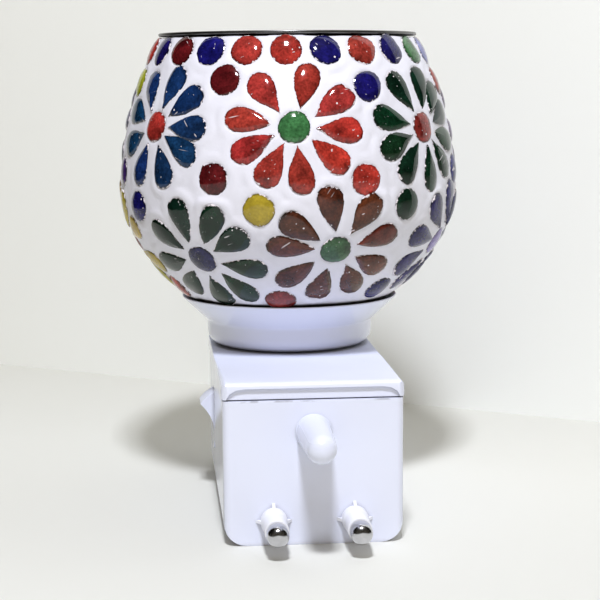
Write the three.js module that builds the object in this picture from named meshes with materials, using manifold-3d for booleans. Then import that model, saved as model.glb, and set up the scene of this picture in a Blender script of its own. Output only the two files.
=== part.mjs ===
// Electric camphor burner: a plug-in housing carries a lamp and a glass globe with a glass-chip mosaic.
// Millimetres, +Z up. The globe's axis is the Z axis, the pins point along -Y and the base stands on Z = 0.

import * as THREE from 'three';
import { mergeVertices } from 'three/addons/utils/BufferGeometryUtils.js';
import Module from 'manifold-3d';

const wasm = await Module();
wasm.setup();

// Gap between pieces that fit or rest on one another
const fit = 0.3;

// Housing tray and lid
const bodyWidth = 42.4;
const plateReach = 65; // from the globe's axis to the pin face
const rearReach = 22; // from the globe's axis to the rear wall
const trayWall = 2;
const frontWall = 3;
const trayFloor = 2;
const bottomEdgeRadius = 5.5;
const rearCornerRadius = 10;
const frontCornerRadius = 1.8;
const lidThickness = 2.8; // at the collar
const lidNoseRise = 1.2; // from there up to the lid's front edge
const lidOverhang = 0.3;
const lidEdgeRadius = 1.4;
const lidSideRadius = 2;
const lidLipDepth = 2;
const lidLipWall = 1.2;
const browDepth = 0.7; // recess in the lid's front face, under its top edge
const browRise = 2.6;
const browBackRise = 2.5; // the recess is lower at its back, so its upper face slopes
const browMargin = 1.1;
const browBend = 0.8; // across the steep foot of each end of the recess
const browSlope = 4.4;

// Screws that hold the lid down from below, one in each lid post
const postX = 12;
const postFrontY = -36;
const postClearance = 0.4; // from the ring nut to a rear post
const postRadius = 2.8;
const padRadius = 4.2;
const padHeight = 4;
const screwShankRadius = 1.2;
const screwLength = 12;
const screwHeadRadius = 2.5;
const screwHeadHeight = 1.6;
const screwRecess = 0.5; // from the underside up to the screw head
const screwSlotWidth = 0.7;
const screwSlotDepth = 0.8;

// Mains pins
const pinSpacing = 19.05;
const pinFloorGap = 0.5; // from the tray's floor up to a pin's shoulder
const pinLength = 15;
const pinRadius = 2.54;
const pinTipRadius = 1.7;
const pinShoulderRadius = 3.4;
const pinShoulderLength = 2;
const pinTailRadius = 1.6;
const pinTailLength = 5;
const pinBlockDepth = 6;
const pinBlockRise = 5.1; // above the pins' axes
const pinBlockMargin = 6; // from a pin's axis to the side of the block
const sleeveLength = 10;
const sleeveRadius = 2.85;
const sleeveWall = 0.65;
const finCount = 4;
const finReach = 1.4;
const finLength = 2.6;
const finThickness = 0.7;

// Dummy earth pin
const earthRise = 20.9; // above the mains pins
const earthLength = 20.6;
const earthRootRadius = 4.1;
const earthTipRadius = 3.3;
const earthStubRadius = 3;
const earthFlangeRadius = 4;
const earthFlangeThickness = 1.6;
const earthHeadroom = 1.9; // from the flange up to the lid's lip

// Rocker switch in the -X wall
const switchY = -11;
const switchDrop = 1.2; // from the ring nut down to the switch case
const switchSkin = 1.2; // wall left at the switch window
const pivotDepth = 3; // from the outer wall face in to the rocker's pivot
const rockerTilt = THREE.MathUtils.degToRad(16); // each way from level
const rockerHalfFace = 6.2;
const rockerWidth = 8;
const rockerProud = 0.3;
const rockerBack = 0.7;
const trunnionRadius = 0.8;
const trunnionReach = 0.9;
const caseWall = 1.5;
const caseFloor = 1.5;
const bridgeThickness = 0.5;
const bridgeLow = 2.2;
const bridgeHigh = 6.4;
const bridgeWidth = 6.8;
const contactWidth = 2.6;
const contactHeight = 2.4;
const contactThickness = 1.2;
const contactSpread = 4.2; // between the two contacts' middles
const bladeThickness = 0.8;
const bladeWidth = 1.6;
const bladeReach = 6;
const rockerSteps = 6; // along the rocker's concave face

// Collar that carries the globe
const collarWallRadius = 22;
const collarThickness = 1.6;
const collarFloor = 2;
const collarEdgeRadius = 3.5;
const collarWaistRise = 6.4; // from the collar's foot to the start of its flare
const collarFlare = 7; // from the wall out to the rim
const collarFlareDrop = 2.9; // thickness of the flare over the wall, measured upright
const collarRimGap = 1; // from the globe out to the rim
const collarLip = 0.5;
const seatWidth = 3.2; // from the collar's inner wall out to the coat's foot
const glassFootGap = 2.7; // from the collar's inner wall in to the glass's foot

// Lampholder
const holderRadius = 11.5;
const holderDrop = 1.9; // from the ring nut down to the lampholder's underside
const holderLip = 0.4; // above the bulb's cap
const holderFloor = 2.5;
const holderFlangeRadius = 14;
const holderFlangeThickness = 2;
const nutRadius = 14.5;
const nutHeight = 4;
const shellRadius = 7.4;
const shellWall = 0.4;
const shellDrop = 1; // from the cap's top down to the shell's
const tagWidth = 2;
const tagThickness = 1.2;
const tagReach = 4; // below the lampholder
const tongueThickness = 0.6;
const tongueWidth = 4;
const tongueRise = 0.8;
const tongueInset = 1; // from the shell's outside in to the tongue's leg
const tongueEnd = 2.4;

// Screw-cap bulb
const bulbTipRadius = 2.4;
const bulbTipHeight = 1.2;
const insulatorHeight = 2.6;
const capHeight = 14.5;
const capWall = 0.4;
const capBottomLip = 2.4;
const bulbNeckDepth = 5; // how far the glass goes down into the cap
const bulbNeckRise = 3;
const bulbGlassRadius = 13;
const bulbGlassHeight = 40; // above the cap
const bulbGlassWall = 0.8;
const stemHeight = 14;
const stemRadius = 1.8;
const filamentRadius = 0.35;
const filamentSpread = 6;
const filamentRise = 12;

// Glass globe: one arc above the belly, a tight arc and a flatter one below it
const globeRadius = 44;
const rimRadius = 33.6;
const crownRise = 39.2; // from the belly up to the rim
const bellyArcRadius = 25;
const bellyArc = THREE.MathUtils.degToRad(28);
const footArcRadius = 54;
const coatThickness = 2;
const glassThickness = 2;

// Mosaic chips, placed by their distance along the globe's outline from the belly
const flowerCount = 7;
const upperFlowerPlace = 17;
const upperFlowerTurn = -3.8;
const lowerFlowerPlace = -15.4;
const lowerFlowerTurn = 11.4;
const petalCount = 9;
const petalPoint = 5.6; // from the flower's centre to a petal's sharp end
const petalEnd = 17.2;
const petalHeadRadius = 3.2;
const petalTurn = 11;
const petalTurnStep = 7;
const discRadius = 4;
const dotRadius = 4;
const upperDotPlace = 28;
const middleDotPlace = 4.6;
const beltDotPlace = -2.8;
const footDotRise = 3.1; // from the collar's rim up to the lowest dots
const rimDotCount = 23;
const rimDotTurn = -5.4;
const rimDotMargin = 0.1; // from the dots to the globe's rim
const chipProud = 0.25;
const chipSink = 1.2;

// How far the hand-set flowers and dots lie off the even pattern: degrees round the globe, distance up it
const upperFlowerShifts = [[1, 0.2], [0.3, -0.6], [0, 0], [-0.5, 0.4], [0.6, 0], [0, -0.3], [-1, 0]];
const lowerFlowerShifts = [[0.3, 1.7], [3, 1.2], [0, 0], [0, -0.4], [0.5, 0], [0, 0.3], [1.2, -1.6]];
const upperDotShifts = [[2.9, -0.8], [0, 0.4], [0.5, 0], [0, -0.3], [-0.5, 0], [0, 0.3], [1.5, 1]];
const middleDotShifts = [[-1.3, -0.4], [0, 0.3], [0, -0.4], [0.5, 0], [0, 0], [-0.5, 0.2], [0, 0]];
const beltDotShifts = [[0, 0.4], [0.5, 0], [0, -0.3], [0, 0.4], [-0.5, 0], [0.4, -0.6], [0, 0]];
const footDotShifts = [[3.8, 1.6], [0, 0], [0.6, 0.3], [0, 0], [-0.6, 0], [-6, 1], [5.3, -0.3]];

// Camphor dish in the globe's mouth
const dishOverhang = 0.3; // past the globe's rim
const dishClearance = 4.3; // from the glass in to the bowl
const dishTaper = 6; // from the bowl's mouth in to its foot
const dishDepth = 12;
const dishThickness = 0.8;

// Internal wires: straight at their ends, with bends on the way at x, y and height
const wireRadius = 0.8;
const pinStub = 5; // straight stretch off a pin's tail
const pinStubLean = 0.8; // how far that stretch leans to the middle
const bladeStub = 1.6; // straight stretch off a switch blade
const bladeTurn = 3.4; // from the blade's end to the first bend of the line wire
const legStub = 2; // straight stretch under a lampholder leg
const bendDrop = 1; // how far the bend before a straight end lies beside and below it
const lineBends = [[-5.5, -32, 6.5], [-5, -20, 9], [-4, -17, 15]];
const neutralBends = [[5.5, -32, 6.5], [4, -20, 9], [2, -13, 15]];
const switchedBends = [[0.5, 3], [4, 4]]; // x, and how far below the blades

// Facets
const globeSides = 28;
const roundSides = 20;
const smallSides = 12;
const cornerSteps = 3;
const chipSides = 8;
const petalHeadSides = 4;
const wireSteps = 26;
const shortWireSteps = 14;

// Axes of the three.js frame
const xAxis = new THREE.Vector3(1, 0, 0);
const yAxis = new THREE.Vector3(0, 1, 0);
const zAxis = new THREE.Vector3(0, 0, 1);

// Materials
const finish = (color, roughness, metalness = 0) =>
  new THREE.MeshStandardMaterial({ color, roughness, metalness });
const glossAbs = finish(0xe9ebfa, 0.25);
const sleeveNylon = finish(0xf4f5fc, 0.4);
const nickel = finish(0xc9c9cc, 0.2, 1);
const brass = finish(0xb99a55, 0.35, 1);
const steel = finish(0xb4b6ba, 0.35, 1);
const aluminium = finish(0xc6c8ca, 0.4, 1);
const tungsten = finish(0x77787c, 0.5, 1);
const phenolic = finish(0x26221f, 0.5);
const clearGlass = finish(0xeaf2f0, 0.05);
const blackGlass = finish(0x17171b, 0.15);
const mosaicWhite = finish(0xf4f4fb, 0.6);
const redWire = finish(0xa8322c, 0.5);
const blackWire = finish(0x222226, 0.5);

// Turns a closed geometry into a solid with its faces pointing out
function solid(geometry) {
  const bare = geometry.clone();
  bare.deleteAttribute('normal');
  bare.deleteAttribute('uv');
  const merged = mergeVertices(bare, 1e-4);
  const vertProperties = new Float32Array(merged.getAttribute('position').array);
  const corners = merged.index.array;
  const point = (i) => new THREE.Vector3().fromArray(vertProperties, 3 * i);
  const triangles = [];
  let volume = 0;
  for (let i = 0; i < corners.length; i += 3) {
    const [a, b, c] = corners.subarray(i, i + 3);
    if (a !== b && b !== c && c !== a) {
      triangles.push([a, b, c]);
      volume += point(a).dot(point(b).cross(point(c)));
    }
  }
  const outward = volume > 0 ? triangles : triangles.map(([a, b, c]) => [a, c, b]);
  const triVerts = new Uint32Array(outward.flat());
  return new wasm.Manifold(new wasm.Mesh({ numProp: 3, vertProperties, triVerts }));
}

// A named mesh from a solid
function piece(name, body, material) {
  const { vertProperties, triVerts } = body.getMesh();
  const geometry = new THREE.BufferGeometry();
  geometry.setAttribute('position', new THREE.BufferAttribute(new Float32Array(vertProperties), 3));
  geometry.setIndex(new THREE.BufferAttribute(new Uint32Array(triVerts), 1));
  geometry.computeVertexNormals();
  const mesh = new THREE.Mesh(geometry, material);
  mesh.name = name;
  return mesh;
}

// A box between two corners
function block(x0, x1, y0, y1, z0, z1) {
  const box = new THREE.BoxGeometry(x1 - x0, y1 - y0, z1 - z0);
  return solid(box.translate((x0 + x1) / 2, (y0 + y1) / 2, (z0 + z1) / 2));
}

// An upright round bar
function rod(radius, z0, z1, x = 0, y = 0, sides = smallSides) {
  const bar = new THREE.CylinderGeometry(radius, radius, z1 - z0, sides).rotateX(Math.PI / 2);
  return solid(bar.translate(x, y, (z0 + z1) / 2));
}

// A closed profile of radius and height, turned about the Z axis
function turned(profile, sides = roundSides, steps = cornerSteps) {
  return solid(new THREE.LatheGeometry(profile.getPoints(steps), sides).rotateX(Math.PI / 2));
}

// A closed profile through points of radius and height
function outline(points) {
  const shape = new THREE.Path(points.map(([radius, height]) => new THREE.Vector2(radius, height)));
  shape.closePath();
  return shape;
}

// A shape carried from one place to another along X, Y or Z; its own axes become the frame's other two
function extruded(shape, axis, from, to, steps = cornerSteps) {
  const geometry = new THREE.ExtrudeGeometry(shape, {
    depth: to - from,
    bevelEnabled: false,
    curveSegments: steps,
  });
  geometry.translate(0, 0, from);
  const bases = {
    x: [yAxis, zAxis, xAxis],
    y: [xAxis, zAxis, yAxis],
    z: [xAxis, yAxis, zAxis],
  };
  return solid(geometry.applyMatrix4(new THREE.Matrix4().makeBasis(...bases[axis])));
}

// A round wire through points, with eight sides
function wire(points, radius, steps) {
  const section = new THREE.Shape(new THREE.Path().absarc(0, 0, radius, 0, 2 * Math.PI).getPoints(4));
  const extrudePath = new THREE.CatmullRomCurve3(points.map((p) => new THREE.Vector3(...p)));
  return solid(new THREE.ExtrudeGeometry(section, { steps, extrudePath, bevelEnabled: false }));
}

// Housing outline seen from above
function plan(side, front, rear, frontRadius, rearRadius) {
  const shape = new THREE.Shape();
  shape.moveTo(-side + frontRadius, front);
  shape.absarc(side - frontRadius, front + frontRadius, frontRadius, -Math.PI / 2, 0);
  shape.absarc(side - rearRadius, rear - rearRadius, rearRadius, 0, Math.PI / 2);
  shape.absarc(-side + rearRadius, rear - rearRadius, rearRadius, Math.PI / 2, Math.PI);
  shape.absarc(-side + frontRadius, front + frontRadius, frontRadius, Math.PI, 1.5 * Math.PI);
  shape.closePath();
  return shape;
}

// Section across the housing with round lower edges
function trough(side, bottom, top, radius) {
  const shape = new THREE.Shape();
  shape.moveTo(side, top);
  shape.lineTo(-side, top);
  shape.absarc(-side + radius, bottom + radius, radius, Math.PI, 1.5 * Math.PI);
  shape.absarc(side - radius, bottom + radius, radius, 1.5 * Math.PI, 2 * Math.PI);
  shape.closePath();
  return shape;
}

// Places shared by several pieces
const halfWidth = bodyWidth / 2;
const innerSide = halfWidth - trayWall;
const innerFront = -plateReach + frontWall;
const innerRear = rearReach - trayWall;
const pinX = pinSpacing / 2;
const pinHeight = trayFloor + pinFloorGap + pinShoulderRadius;
const pinHole = sleeveRadius + fit;
const earthHeight = pinHeight + earthRise;
const blockBack = frontWall + pinBlockDepth;
const lidBottom = earthHeight + earthFlangeRadius + earthHeadroom + lidLipDepth;
const lidTop = lidBottom + lidThickness;
const seamHeight = lidBottom - fit;
const nutTop = lidBottom - fit;
const nutBottom = nutTop - nutHeight;
const postRearY = Math.sqrt((nutRadius + postRadius + postClearance) ** 2 - postX ** 2);
const posts = [-1, 1].flatMap((side) => [postFrontY, postRearY].map((y) => [side * postX, y]));
const screwHeadTop = screwRecess + screwHeadHeight;
const screwHole = screwShankRadius + fit;

// Rocker places: its face is level when the pivot's tilt is zero
const pivotX = -halfWidth + pivotDepth;
const rockerValley = (pivotDepth + rockerProud) / Math.cos(rockerTilt);
const rockerEndOut = rockerValley + rockerHalfFace * Math.sin(rockerTilt);
const rockerEndUp = rockerHalfFace * Math.cos(rockerTilt);
const rockerRadius = Math.hypot(rockerEndOut, rockerEndUp);
const windowHalfHeight = Math.sqrt(rockerRadius ** 2 - (pivotDepth - switchSkin) ** 2) + fit;
const windowHalfWidth = rockerWidth / 2 + fit;
const bridgeBack = rockerBack + fit + bridgeThickness;
const contactFront = bridgeBack * Math.cos(rockerTilt) + bridgeHigh * Math.sin(rockerTilt) + fit;
const contactBack = contactFront + contactThickness;
const contactMiddle = (bridgeLow + bridgeHigh) / 2 + bridgeThickness;
const caseHalfHeight = rockerRadius + fit + caseWall;
const caseHalfWidth = windowHalfWidth + caseWall;
const caseTop = nutBottom - switchDrop;
const switchHeight = caseTop - caseHalfHeight;
const caseFront = -halfWidth + switchSkin + fit;
const caseBack = pivotX + contactBack + fit + caseFloor;
const bladeEnd = caseBack + bladeReach;

// Tray: the lower housing with the pin face, the pin block and the screw pads
function makeTray() {
  const outer = extruded(
    plan(halfWidth, -plateReach, rearReach, frontCornerRadius, rearCornerRadius), 'z', 0, seamHeight
  ).intersect(extruded(
    trough(halfWidth, 0, seamHeight, bottomEdgeRadius), 'y', -plateReach, rearReach
  ));
  const innerPlan = plan(innerSide, innerFront, innerRear, frontCornerRadius, rearCornerRadius - trayWall);
  const innerTrough = trough(innerSide, trayFloor, lidTop, bottomEdgeRadius - trayFloor);
  const cavity = extruded(innerPlan, 'z', trayFloor, lidTop)
    .intersect(extruded(innerTrough, 'y', innerFront, innerRear));
  let tray = outer.subtract(cavity);
  const blockSide = pinX + pinBlockMargin;
  const pinBlock = block(
    -blockSide, blockSide, -plateReach + fit, -plateReach + blockBack, fit, pinHeight + pinBlockRise
  );
  tray = tray.add(pinBlock.intersect(outer));
  for (const [x, y] of posts) {
    tray = tray.add(rod(padRadius, fit, padHeight, x, y));
  }
  for (const [x, y] of posts) {
    tray = tray.subtract(rod(screwHeadRadius + fit, -fit, screwHeadTop + fit, x, y, roundSides));
    tray = tray.subtract(rod(screwHole, 0, lidTop, x, y));
  }
  for (const x of [-pinX, pinX]) {
    tray = tray.subtract(acrossPlate(pinHole, x, pinHeight, blockBack));
  }
  tray = tray.subtract(acrossPlate(earthStubRadius + fit, 0, earthHeight, frontWall));
  const window = block(
    -halfWidth - fit, -innerSide + fit,
    switchY - windowHalfWidth, switchY + windowHalfWidth,
    switchHeight - windowHalfHeight, switchHeight + windowHalfHeight
  );
  const pocket = block(
    -halfWidth + switchSkin, -innerSide + fit,
    switchY - caseHalfWidth - fit, switchY + caseHalfWidth + fit,
    switchHeight - caseHalfHeight - fit, switchHeight + caseHalfHeight + fit
  );
  return tray.subtract(window).subtract(pocket);
}

// A round hole's core, from just outside the pin face to a depth behind it
function acrossPlate(radius, x, z, depth) {
  const core = new THREE.CylinderGeometry(radius, radius, depth + 2 * fit, smallSides);
  return solid(core.translate(x, -plateReach + depth / 2, z));
}

// Lid: a plate with round top edges, a locating lip, four posts and the recess under its front edge
function makeLid() {
  const side = halfWidth + lidOverhang;
  const rear = rearReach + lidOverhang;
  const topView = plan(
    side, -plateReach, rear, frontCornerRadius + lidOverhang, rearCornerRadius + lidOverhang
  );
  const noseTop = lidTop + lidNoseRise;
  const acrossView = crowned(-side, side, lidBottom, noseTop, lidSideRadius);
  const alongView = sideView(rear, noseTop);
  let lid = extruded(topView, 'z', lidBottom, noseTop)
    .intersect(extruded(acrossView, 'y', -plateReach, rear))
    .intersect(extruded(alongView, 'x', -side, side));
  const lipSide = innerSide - fit;
  const lipFront = innerFront + fit;
  const lipRear = innerRear - fit;
  const lipCorner = rearCornerRadius - trayWall - fit;
  const lipTop = lidBottom + fit;
  const lipBottom = lidBottom - lidLipDepth;
  const lipOuter = plan(lipSide, lipFront, lipRear, frontCornerRadius, lipCorner);
  const lipInner = plan(
    lipSide - lidLipWall, lipFront + lidLipWall, lipRear - lidLipWall,
    frontCornerRadius, lipCorner - lidLipWall
  );
  const lip = extruded(lipOuter, 'z', lipBottom, lipTop)
    .subtract(extruded(lipInner, 'z', lipBottom - fit, lipTop + fit));
  lid = lid.add(lip);
  for (const [x, y] of posts) {
    lid = lid.add(rod(postRadius, padHeight + fit, lidBottom + fit, x, y));
  }
  for (const [x, y] of posts) {
    lid = lid.subtract(rod(screwHole, 0, screwHeadTop + screwLength + fit, x, y));
  }
  lid = lid.subtract(rod(holderRadius + fit, 0, lidTop + fit, 0, 0, roundSides));
  return lid.subtract(browRecess(side - browMargin));
}

// The lid seen from the side: flat under the collar, rising from there to a round front edge
function sideView(rear, noseTop) {
  const shape = new THREE.Shape();
  shape.moveTo(-plateReach, lidBottom);
  shape.lineTo(rear, lidBottom);
  shape.absarc(rear - lidEdgeRadius, lidTop - lidEdgeRadius, lidEdgeRadius, 0, Math.PI / 2);
  shape.lineTo(-collarWallRadius - fit, lidTop);
  shape.absarc(-plateReach + lidEdgeRadius, noseTop - lidEdgeRadius, lidEdgeRadius, Math.PI / 2, Math.PI);
  shape.closePath();
  return shape;
}

// Arched recess in the lid's front face, lower at its back than at its mouth
function browRecess(side) {
  const top = lidBottom + browRise;
  const arch = new THREE.Shape();
  arch.moveTo(-side, lidBottom - fit);
  arch.lineTo(side, lidBottom - fit);
  arch.lineTo(side, lidBottom);
  arch.quadraticCurveTo(side - browBend, top, side - browSlope, top);
  arch.lineTo(-side + browSlope, top);
  arch.quadraticCurveTo(-side + browBend, top, -side, lidBottom);
  arch.closePath();
  const options = { depth: 1, bevelEnabled: false, curveSegments: cornerSteps };
  const geometry = new THREE.ExtrudeGeometry(arch, options);
  const points = geometry.getAttribute('position');
  for (let i = 0; i < points.count; i += 1) {
    const atBack = points.getZ(i);
    const rise = points.getY(i) - lidBottom;
    const height = atBack && rise > 0 ? rise * browBackRise / browRise : rise;
    points.setXYZ(i, points.getX(i), -plateReach - fit + atBack * (browDepth + fit), lidBottom + height);
  }
  return solid(geometry);
}

// A flat bar's section with round upper edges
function crowned(left, right, bottom, top, radius) {
  const shape = new THREE.Shape();
  shape.moveTo(left, bottom);
  shape.lineTo(right, bottom);
  shape.absarc(right - radius, top - radius, radius, 0, Math.PI / 2);
  shape.absarc(left + radius, top - radius, radius, Math.PI / 2, Math.PI);
  shape.closePath();
  return shape;
}

// Lid screw with a cross slot in its head, its point up
function makeScrew() {
  const screw = rod(screwHeadRadius, screwRecess, screwHeadTop, 0, 0, roundSides)
    .add(rod(screwShankRadius, screwHeadTop - fit, screwHeadTop + screwLength));
  const slotHalf = screwHeadRadius - fit;
  const halfSlot = screwSlotWidth / 2;
  const slotTop = screwRecess + screwSlotDepth;
  return screw
    .subtract(block(-slotHalf, slotHalf, -halfSlot, halfSlot, 0, slotTop))
    .subtract(block(-halfSlot, halfSlot, -slotHalf, slotHalf, 0, slotTop));
}

// Mains pin, its own Z running outwards from the pin face: tip, neck under the sleeve, shoulder, tail
function makePin() {
  const neck = sleeveRadius - sleeveWall - fit;
  const shoulder = -blockBack - fit;
  const tail = shoulder - pinShoulderLength;
  const profile = new THREE.Path();
  profile.moveTo(0, tail - pinTailLength);
  profile.lineTo(pinTailRadius, tail - pinTailLength);
  profile.lineTo(pinTailRadius, tail);
  profile.lineTo(pinShoulderRadius, tail);
  profile.lineTo(pinShoulderRadius, shoulder);
  profile.lineTo(neck, shoulder);
  profile.lineTo(neck, sleeveLength + fit);
  profile.lineTo(pinRadius, sleeveLength + fit);
  profile.absarc(pinRadius - pinTipRadius, pinLength - pinTipRadius, pinTipRadius, 0, Math.PI / 2);
  profile.lineTo(0, pinLength);
  return turned(profile, smallSides, 2);
}

// Insulating sleeve on a mains pin, with small fins where it leaves the pin face
function makeSleeve() {
  const bore = sleeveRadius - sleeveWall;
  let sleeve = turned(outline([
    [bore, -blockBack], [sleeveRadius, -blockBack], [sleeveRadius, sleeveLength], [bore, sleeveLength],
  ]), smallSides);
  const finRoot = bore + sleeveWall / 2;
  for (let i = 0; i < finCount; i += 1) {
    const fin = new THREE.Shape([
      new THREE.Vector2(finRoot, fit),
      new THREE.Vector2(sleeveRadius + finReach, fit),
      new THREE.Vector2(finRoot, finLength),
    ]);
    const turn = (i / finCount) * 360;
    sleeve = sleeve.add(extruded(fin, 'y', -finThickness / 2, finThickness / 2).rotate([0, 0, turn]));
  }
  return sleeve;
}

// Dummy earth pin: domed taper outside, stub through the wall, flange inside
function makeEarthPin() {
  const flangeFront = -frontWall - fit;
  const flangeBack = flangeFront - earthFlangeThickness;
  const domeMiddle = earthLength - earthTipRadius;
  const profile = new THREE.Path();
  profile.moveTo(0, flangeBack);
  profile.lineTo(earthFlangeRadius, flangeBack);
  profile.lineTo(earthFlangeRadius, flangeFront);
  profile.lineTo(earthStubRadius, flangeFront);
  profile.lineTo(earthStubRadius, fit);
  profile.lineTo(earthRootRadius, fit);
  profile.absarc(0, domeMiddle, earthTipRadius, 0, Math.PI / 2);
  return turned(profile, smallSides, 3);
}

// Switch case behind the window, open to the front, with pivot holes and blade slots
function makeSwitchCase() {
  let shellBox = block(
    caseFront, caseBack, switchY - caseHalfWidth, switchY + caseHalfWidth,
    switchHeight - caseHalfHeight, switchHeight + caseHalfHeight
  );
  const roomHalfHeight = rockerRadius + fit;
  shellBox = shellBox.subtract(block(
    caseFront - fit, caseBack - caseFloor, switchY - windowHalfWidth, switchY + windowHalfWidth,
    switchHeight - roomHalfHeight, switchHeight + roomHalfHeight
  ));
  const pivotReach = windowHalfWidth + trunnionReach;
  const pivot = new THREE.CylinderGeometry(
    trunnionRadius + fit, trunnionRadius + fit, 2 * pivotReach, smallSides
  );
  shellBox = shellBox.subtract(solid(pivot.translate(pivotX, switchY, switchHeight)));
  for (const side of [-1, 1]) {
    shellBox = shellBox.subtract(contactBlade(side, fit));
  }
  return shellBox;
}

// The straight blade of a switch contact, with a margin all round
function contactBlade(side, margin) {
  const y = switchY + side * contactSpread / 2;
  const z = switchHeight + contactMiddle;
  return block(
    pivotX + contactBack - fit - margin, bladeEnd + margin,
    y - bladeThickness / 2 - margin, y + bladeThickness / 2 + margin,
    z - bladeWidth / 2 - margin, z + bladeWidth / 2 + margin
  );
}

// Switch contact: a head in the case and a blade out through its floor
function makeContact(side) {
  const y = switchY + side * contactSpread / 2;
  const z = switchHeight + contactMiddle;
  const head = block(
    pivotX + contactFront, pivotX + contactBack, y - contactWidth / 2, y + contactWidth / 2,
    z - contactHeight / 2, z + contactHeight / 2
  );
  return head.add(contactBlade(side, 0));
}

// Rocker about its pivot, level: concave face on -X, round ends, flat back and two trunnions
function makeRocker() {
  const endAngle = Math.atan2(rockerEndUp, -rockerEndOut);
  const backAngle = Math.acos(rockerBack / rockerRadius);
  const valleyControl = 2 * rockerValley - rockerEndOut;
  const shape = new THREE.Shape();
  shape.moveTo(-rockerEndOut, rockerEndUp);
  shape.absarc(0, 0, rockerRadius, endAngle, backAngle, true);
  shape.absarc(0, 0, rockerRadius, -backAngle, -endAngle, true);
  shape.quadraticCurveTo(-valleyControl, 0, -rockerEndOut, rockerEndUp);
  const halfRocker = rockerWidth / 2;
  const reach = windowHalfWidth + trunnionReach - fit;
  const trunnion = new THREE.CylinderGeometry(trunnionRadius, trunnionRadius, 2 * reach, smallSides);
  return extruded(shape, 'y', -halfRocker, halfRocker, rockerSteps).add(solid(trunnion));
}

// Brass bridge under the rocker's upper half
function makeBridge() {
  return block(
    rockerBack + fit, bridgeBack, -bridgeWidth / 2, bridgeWidth / 2, bridgeLow, bridgeHigh
  );
}

// Lower arc of the globe: its axis offset and its rise over the belly, and its angle down to a radius
const footArcX = globeRadius - bellyArcRadius + (bellyArcRadius - footArcRadius) * Math.cos(bellyArc);
const footArcRise = (footArcRadius - bellyArcRadius) * Math.sin(bellyArc);
const footAngleAt = (radius, depth) => Math.acos((radius - footArcX) / (footArcRadius - depth));
const dropAt = (angle, depth) => (footArcRadius - depth) * Math.sin(angle) - footArcRise;

// The coat's foot sits on the collar's flare, and the globe's heights follow from that
const collarFoot = lidTop + fit;
const collarInner = collarWallRadius - collarThickness;
const collarWaist = collarFoot + collarWaistRise;
const collarRimRadius = collarWallRadius + collarFlare;
const collarRimInner = collarRimRadius - collarLip;
const coatFootAngle = footAngleAt(collarInner + seatWidth, 0);
const glassFootAngle = footAngleAt(collarInner - glassFootGap, coatThickness + fit);
const collarRimAngle = footAngleAt(collarRimInner, -collarRimGap);
const seatX = footArcX + (footArcRadius + fit) * Math.cos(coatFootAngle);
const seatDrop = dropAt(coatFootAngle, -fit);
const rimDrop = dropAt(collarRimAngle, -collarRimGap);
const flareSlope = (seatDrop - rimDrop) / (collarRimInner - seatX);
const seatHeight = collarWaist + collarFlareDrop + (seatX - collarWallRadius) * flareSlope;
const bellyHeight = seatHeight + seatDrop;
const collarRimHeight = bellyHeight - rimDrop;
const rimHeight = bellyHeight + crownRise;

// Arcs of the globe's outline
const rimInset = globeRadius - rimRadius;
const crownArcRadius = (crownRise ** 2 + rimInset ** 2) / (2 * rimInset);
const crownCentre = new THREE.Vector2(globeRadius - crownArcRadius, bellyHeight);
const bellyCentre = new THREE.Vector2(globeRadius - bellyArcRadius, bellyHeight);
const footCentre = new THREE.Vector2(footArcX, bellyHeight + footArcRise);
const bellyLength = bellyArcRadius * bellyArc;
const crownLength = crownArcRadius * Math.asin(crownRise / crownArcRadius);
const rimDotPlace = crownLength - dotRadius - rimDotMargin;
const footDotPlace = footDotRise - bellyLength - footArcRadius * (collarRimAngle - bellyArc);

// A point of an arc and the direction out of it
function arcPlace(centre, radius, angle) {
  const normal = new THREE.Vector2(Math.cos(angle), Math.sin(angle));
  return { point: normal.clone().multiplyScalar(radius).add(centre), normal };
}

// The place on the outline at a distance along it from the belly, above the belly if it is positive
function globePlace(distance) {
  if (distance > 0) {
    return arcPlace(crownCentre, crownArcRadius, distance / crownArcRadius);
  }
  if (distance > -bellyLength) {
    return arcPlace(bellyCentre, bellyArcRadius, distance / bellyArcRadius);
  }
  return arcPlace(footCentre, footArcRadius, (distance + bellyLength) / footArcRadius - bellyArc);
}

// A skin of the globe between two depths under its outline, from a foot angle up to the rim
function globeSkin(outerDepth, innerDepth, footAngle) {
  const side = (depth) => {
    const rimAngle = Math.asin(crownRise / (crownArcRadius - depth));
    const path = new THREE.Path();
    path.absarc(footCentre.x, footCentre.y, footArcRadius - depth, -footAngle, -bellyArc);
    path.absarc(bellyCentre.x, bellyCentre.y, bellyArcRadius - depth, -bellyArc, 0);
    path.absarc(crownCentre.x, crownCentre.y, crownArcRadius - depth, 0, rimAngle / 2);
    path.absarc(crownCentre.x, crownCentre.y, crownArcRadius - depth, rimAngle / 2, rimAngle);
    return path.getPoints(1);
  };
  const profile = new THREE.Path([...side(outerDepth), ...side(innerDepth).reverse()]);
  profile.closePath();
  return turned(profile, globeSides);
}

// A flat chip on the globe at an azimuth, in degrees from -Y towards +X, and a distance from the belly
function chip(shape, azimuth, distance) {
  const { point, normal } = globePlace(distance);
  const turn = THREE.MathUtils.degToRad(azimuth);
  const out = new THREE.Vector3(Math.sin(turn), -Math.cos(turn), 0);
  const along = new THREE.Vector3(Math.cos(turn), Math.sin(turn), 0);
  const facing = out.clone().multiplyScalar(normal.x).addScaledVector(zAxis, normal.y);
  const up = facing.clone().cross(along);
  const geometry = new THREE.ExtrudeGeometry(shape, {
    depth: chipSink + chipProud,
    bevelEnabled: false,
  });
  geometry.translate(0, 0, -chipSink);
  const place = new THREE.Matrix4().makeBasis(along, up, facing);
  place.setPosition(out.multiplyScalar(point.x).addScaledVector(zAxis, point.y));
  return solid(geometry.applyMatrix4(place));
}

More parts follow.
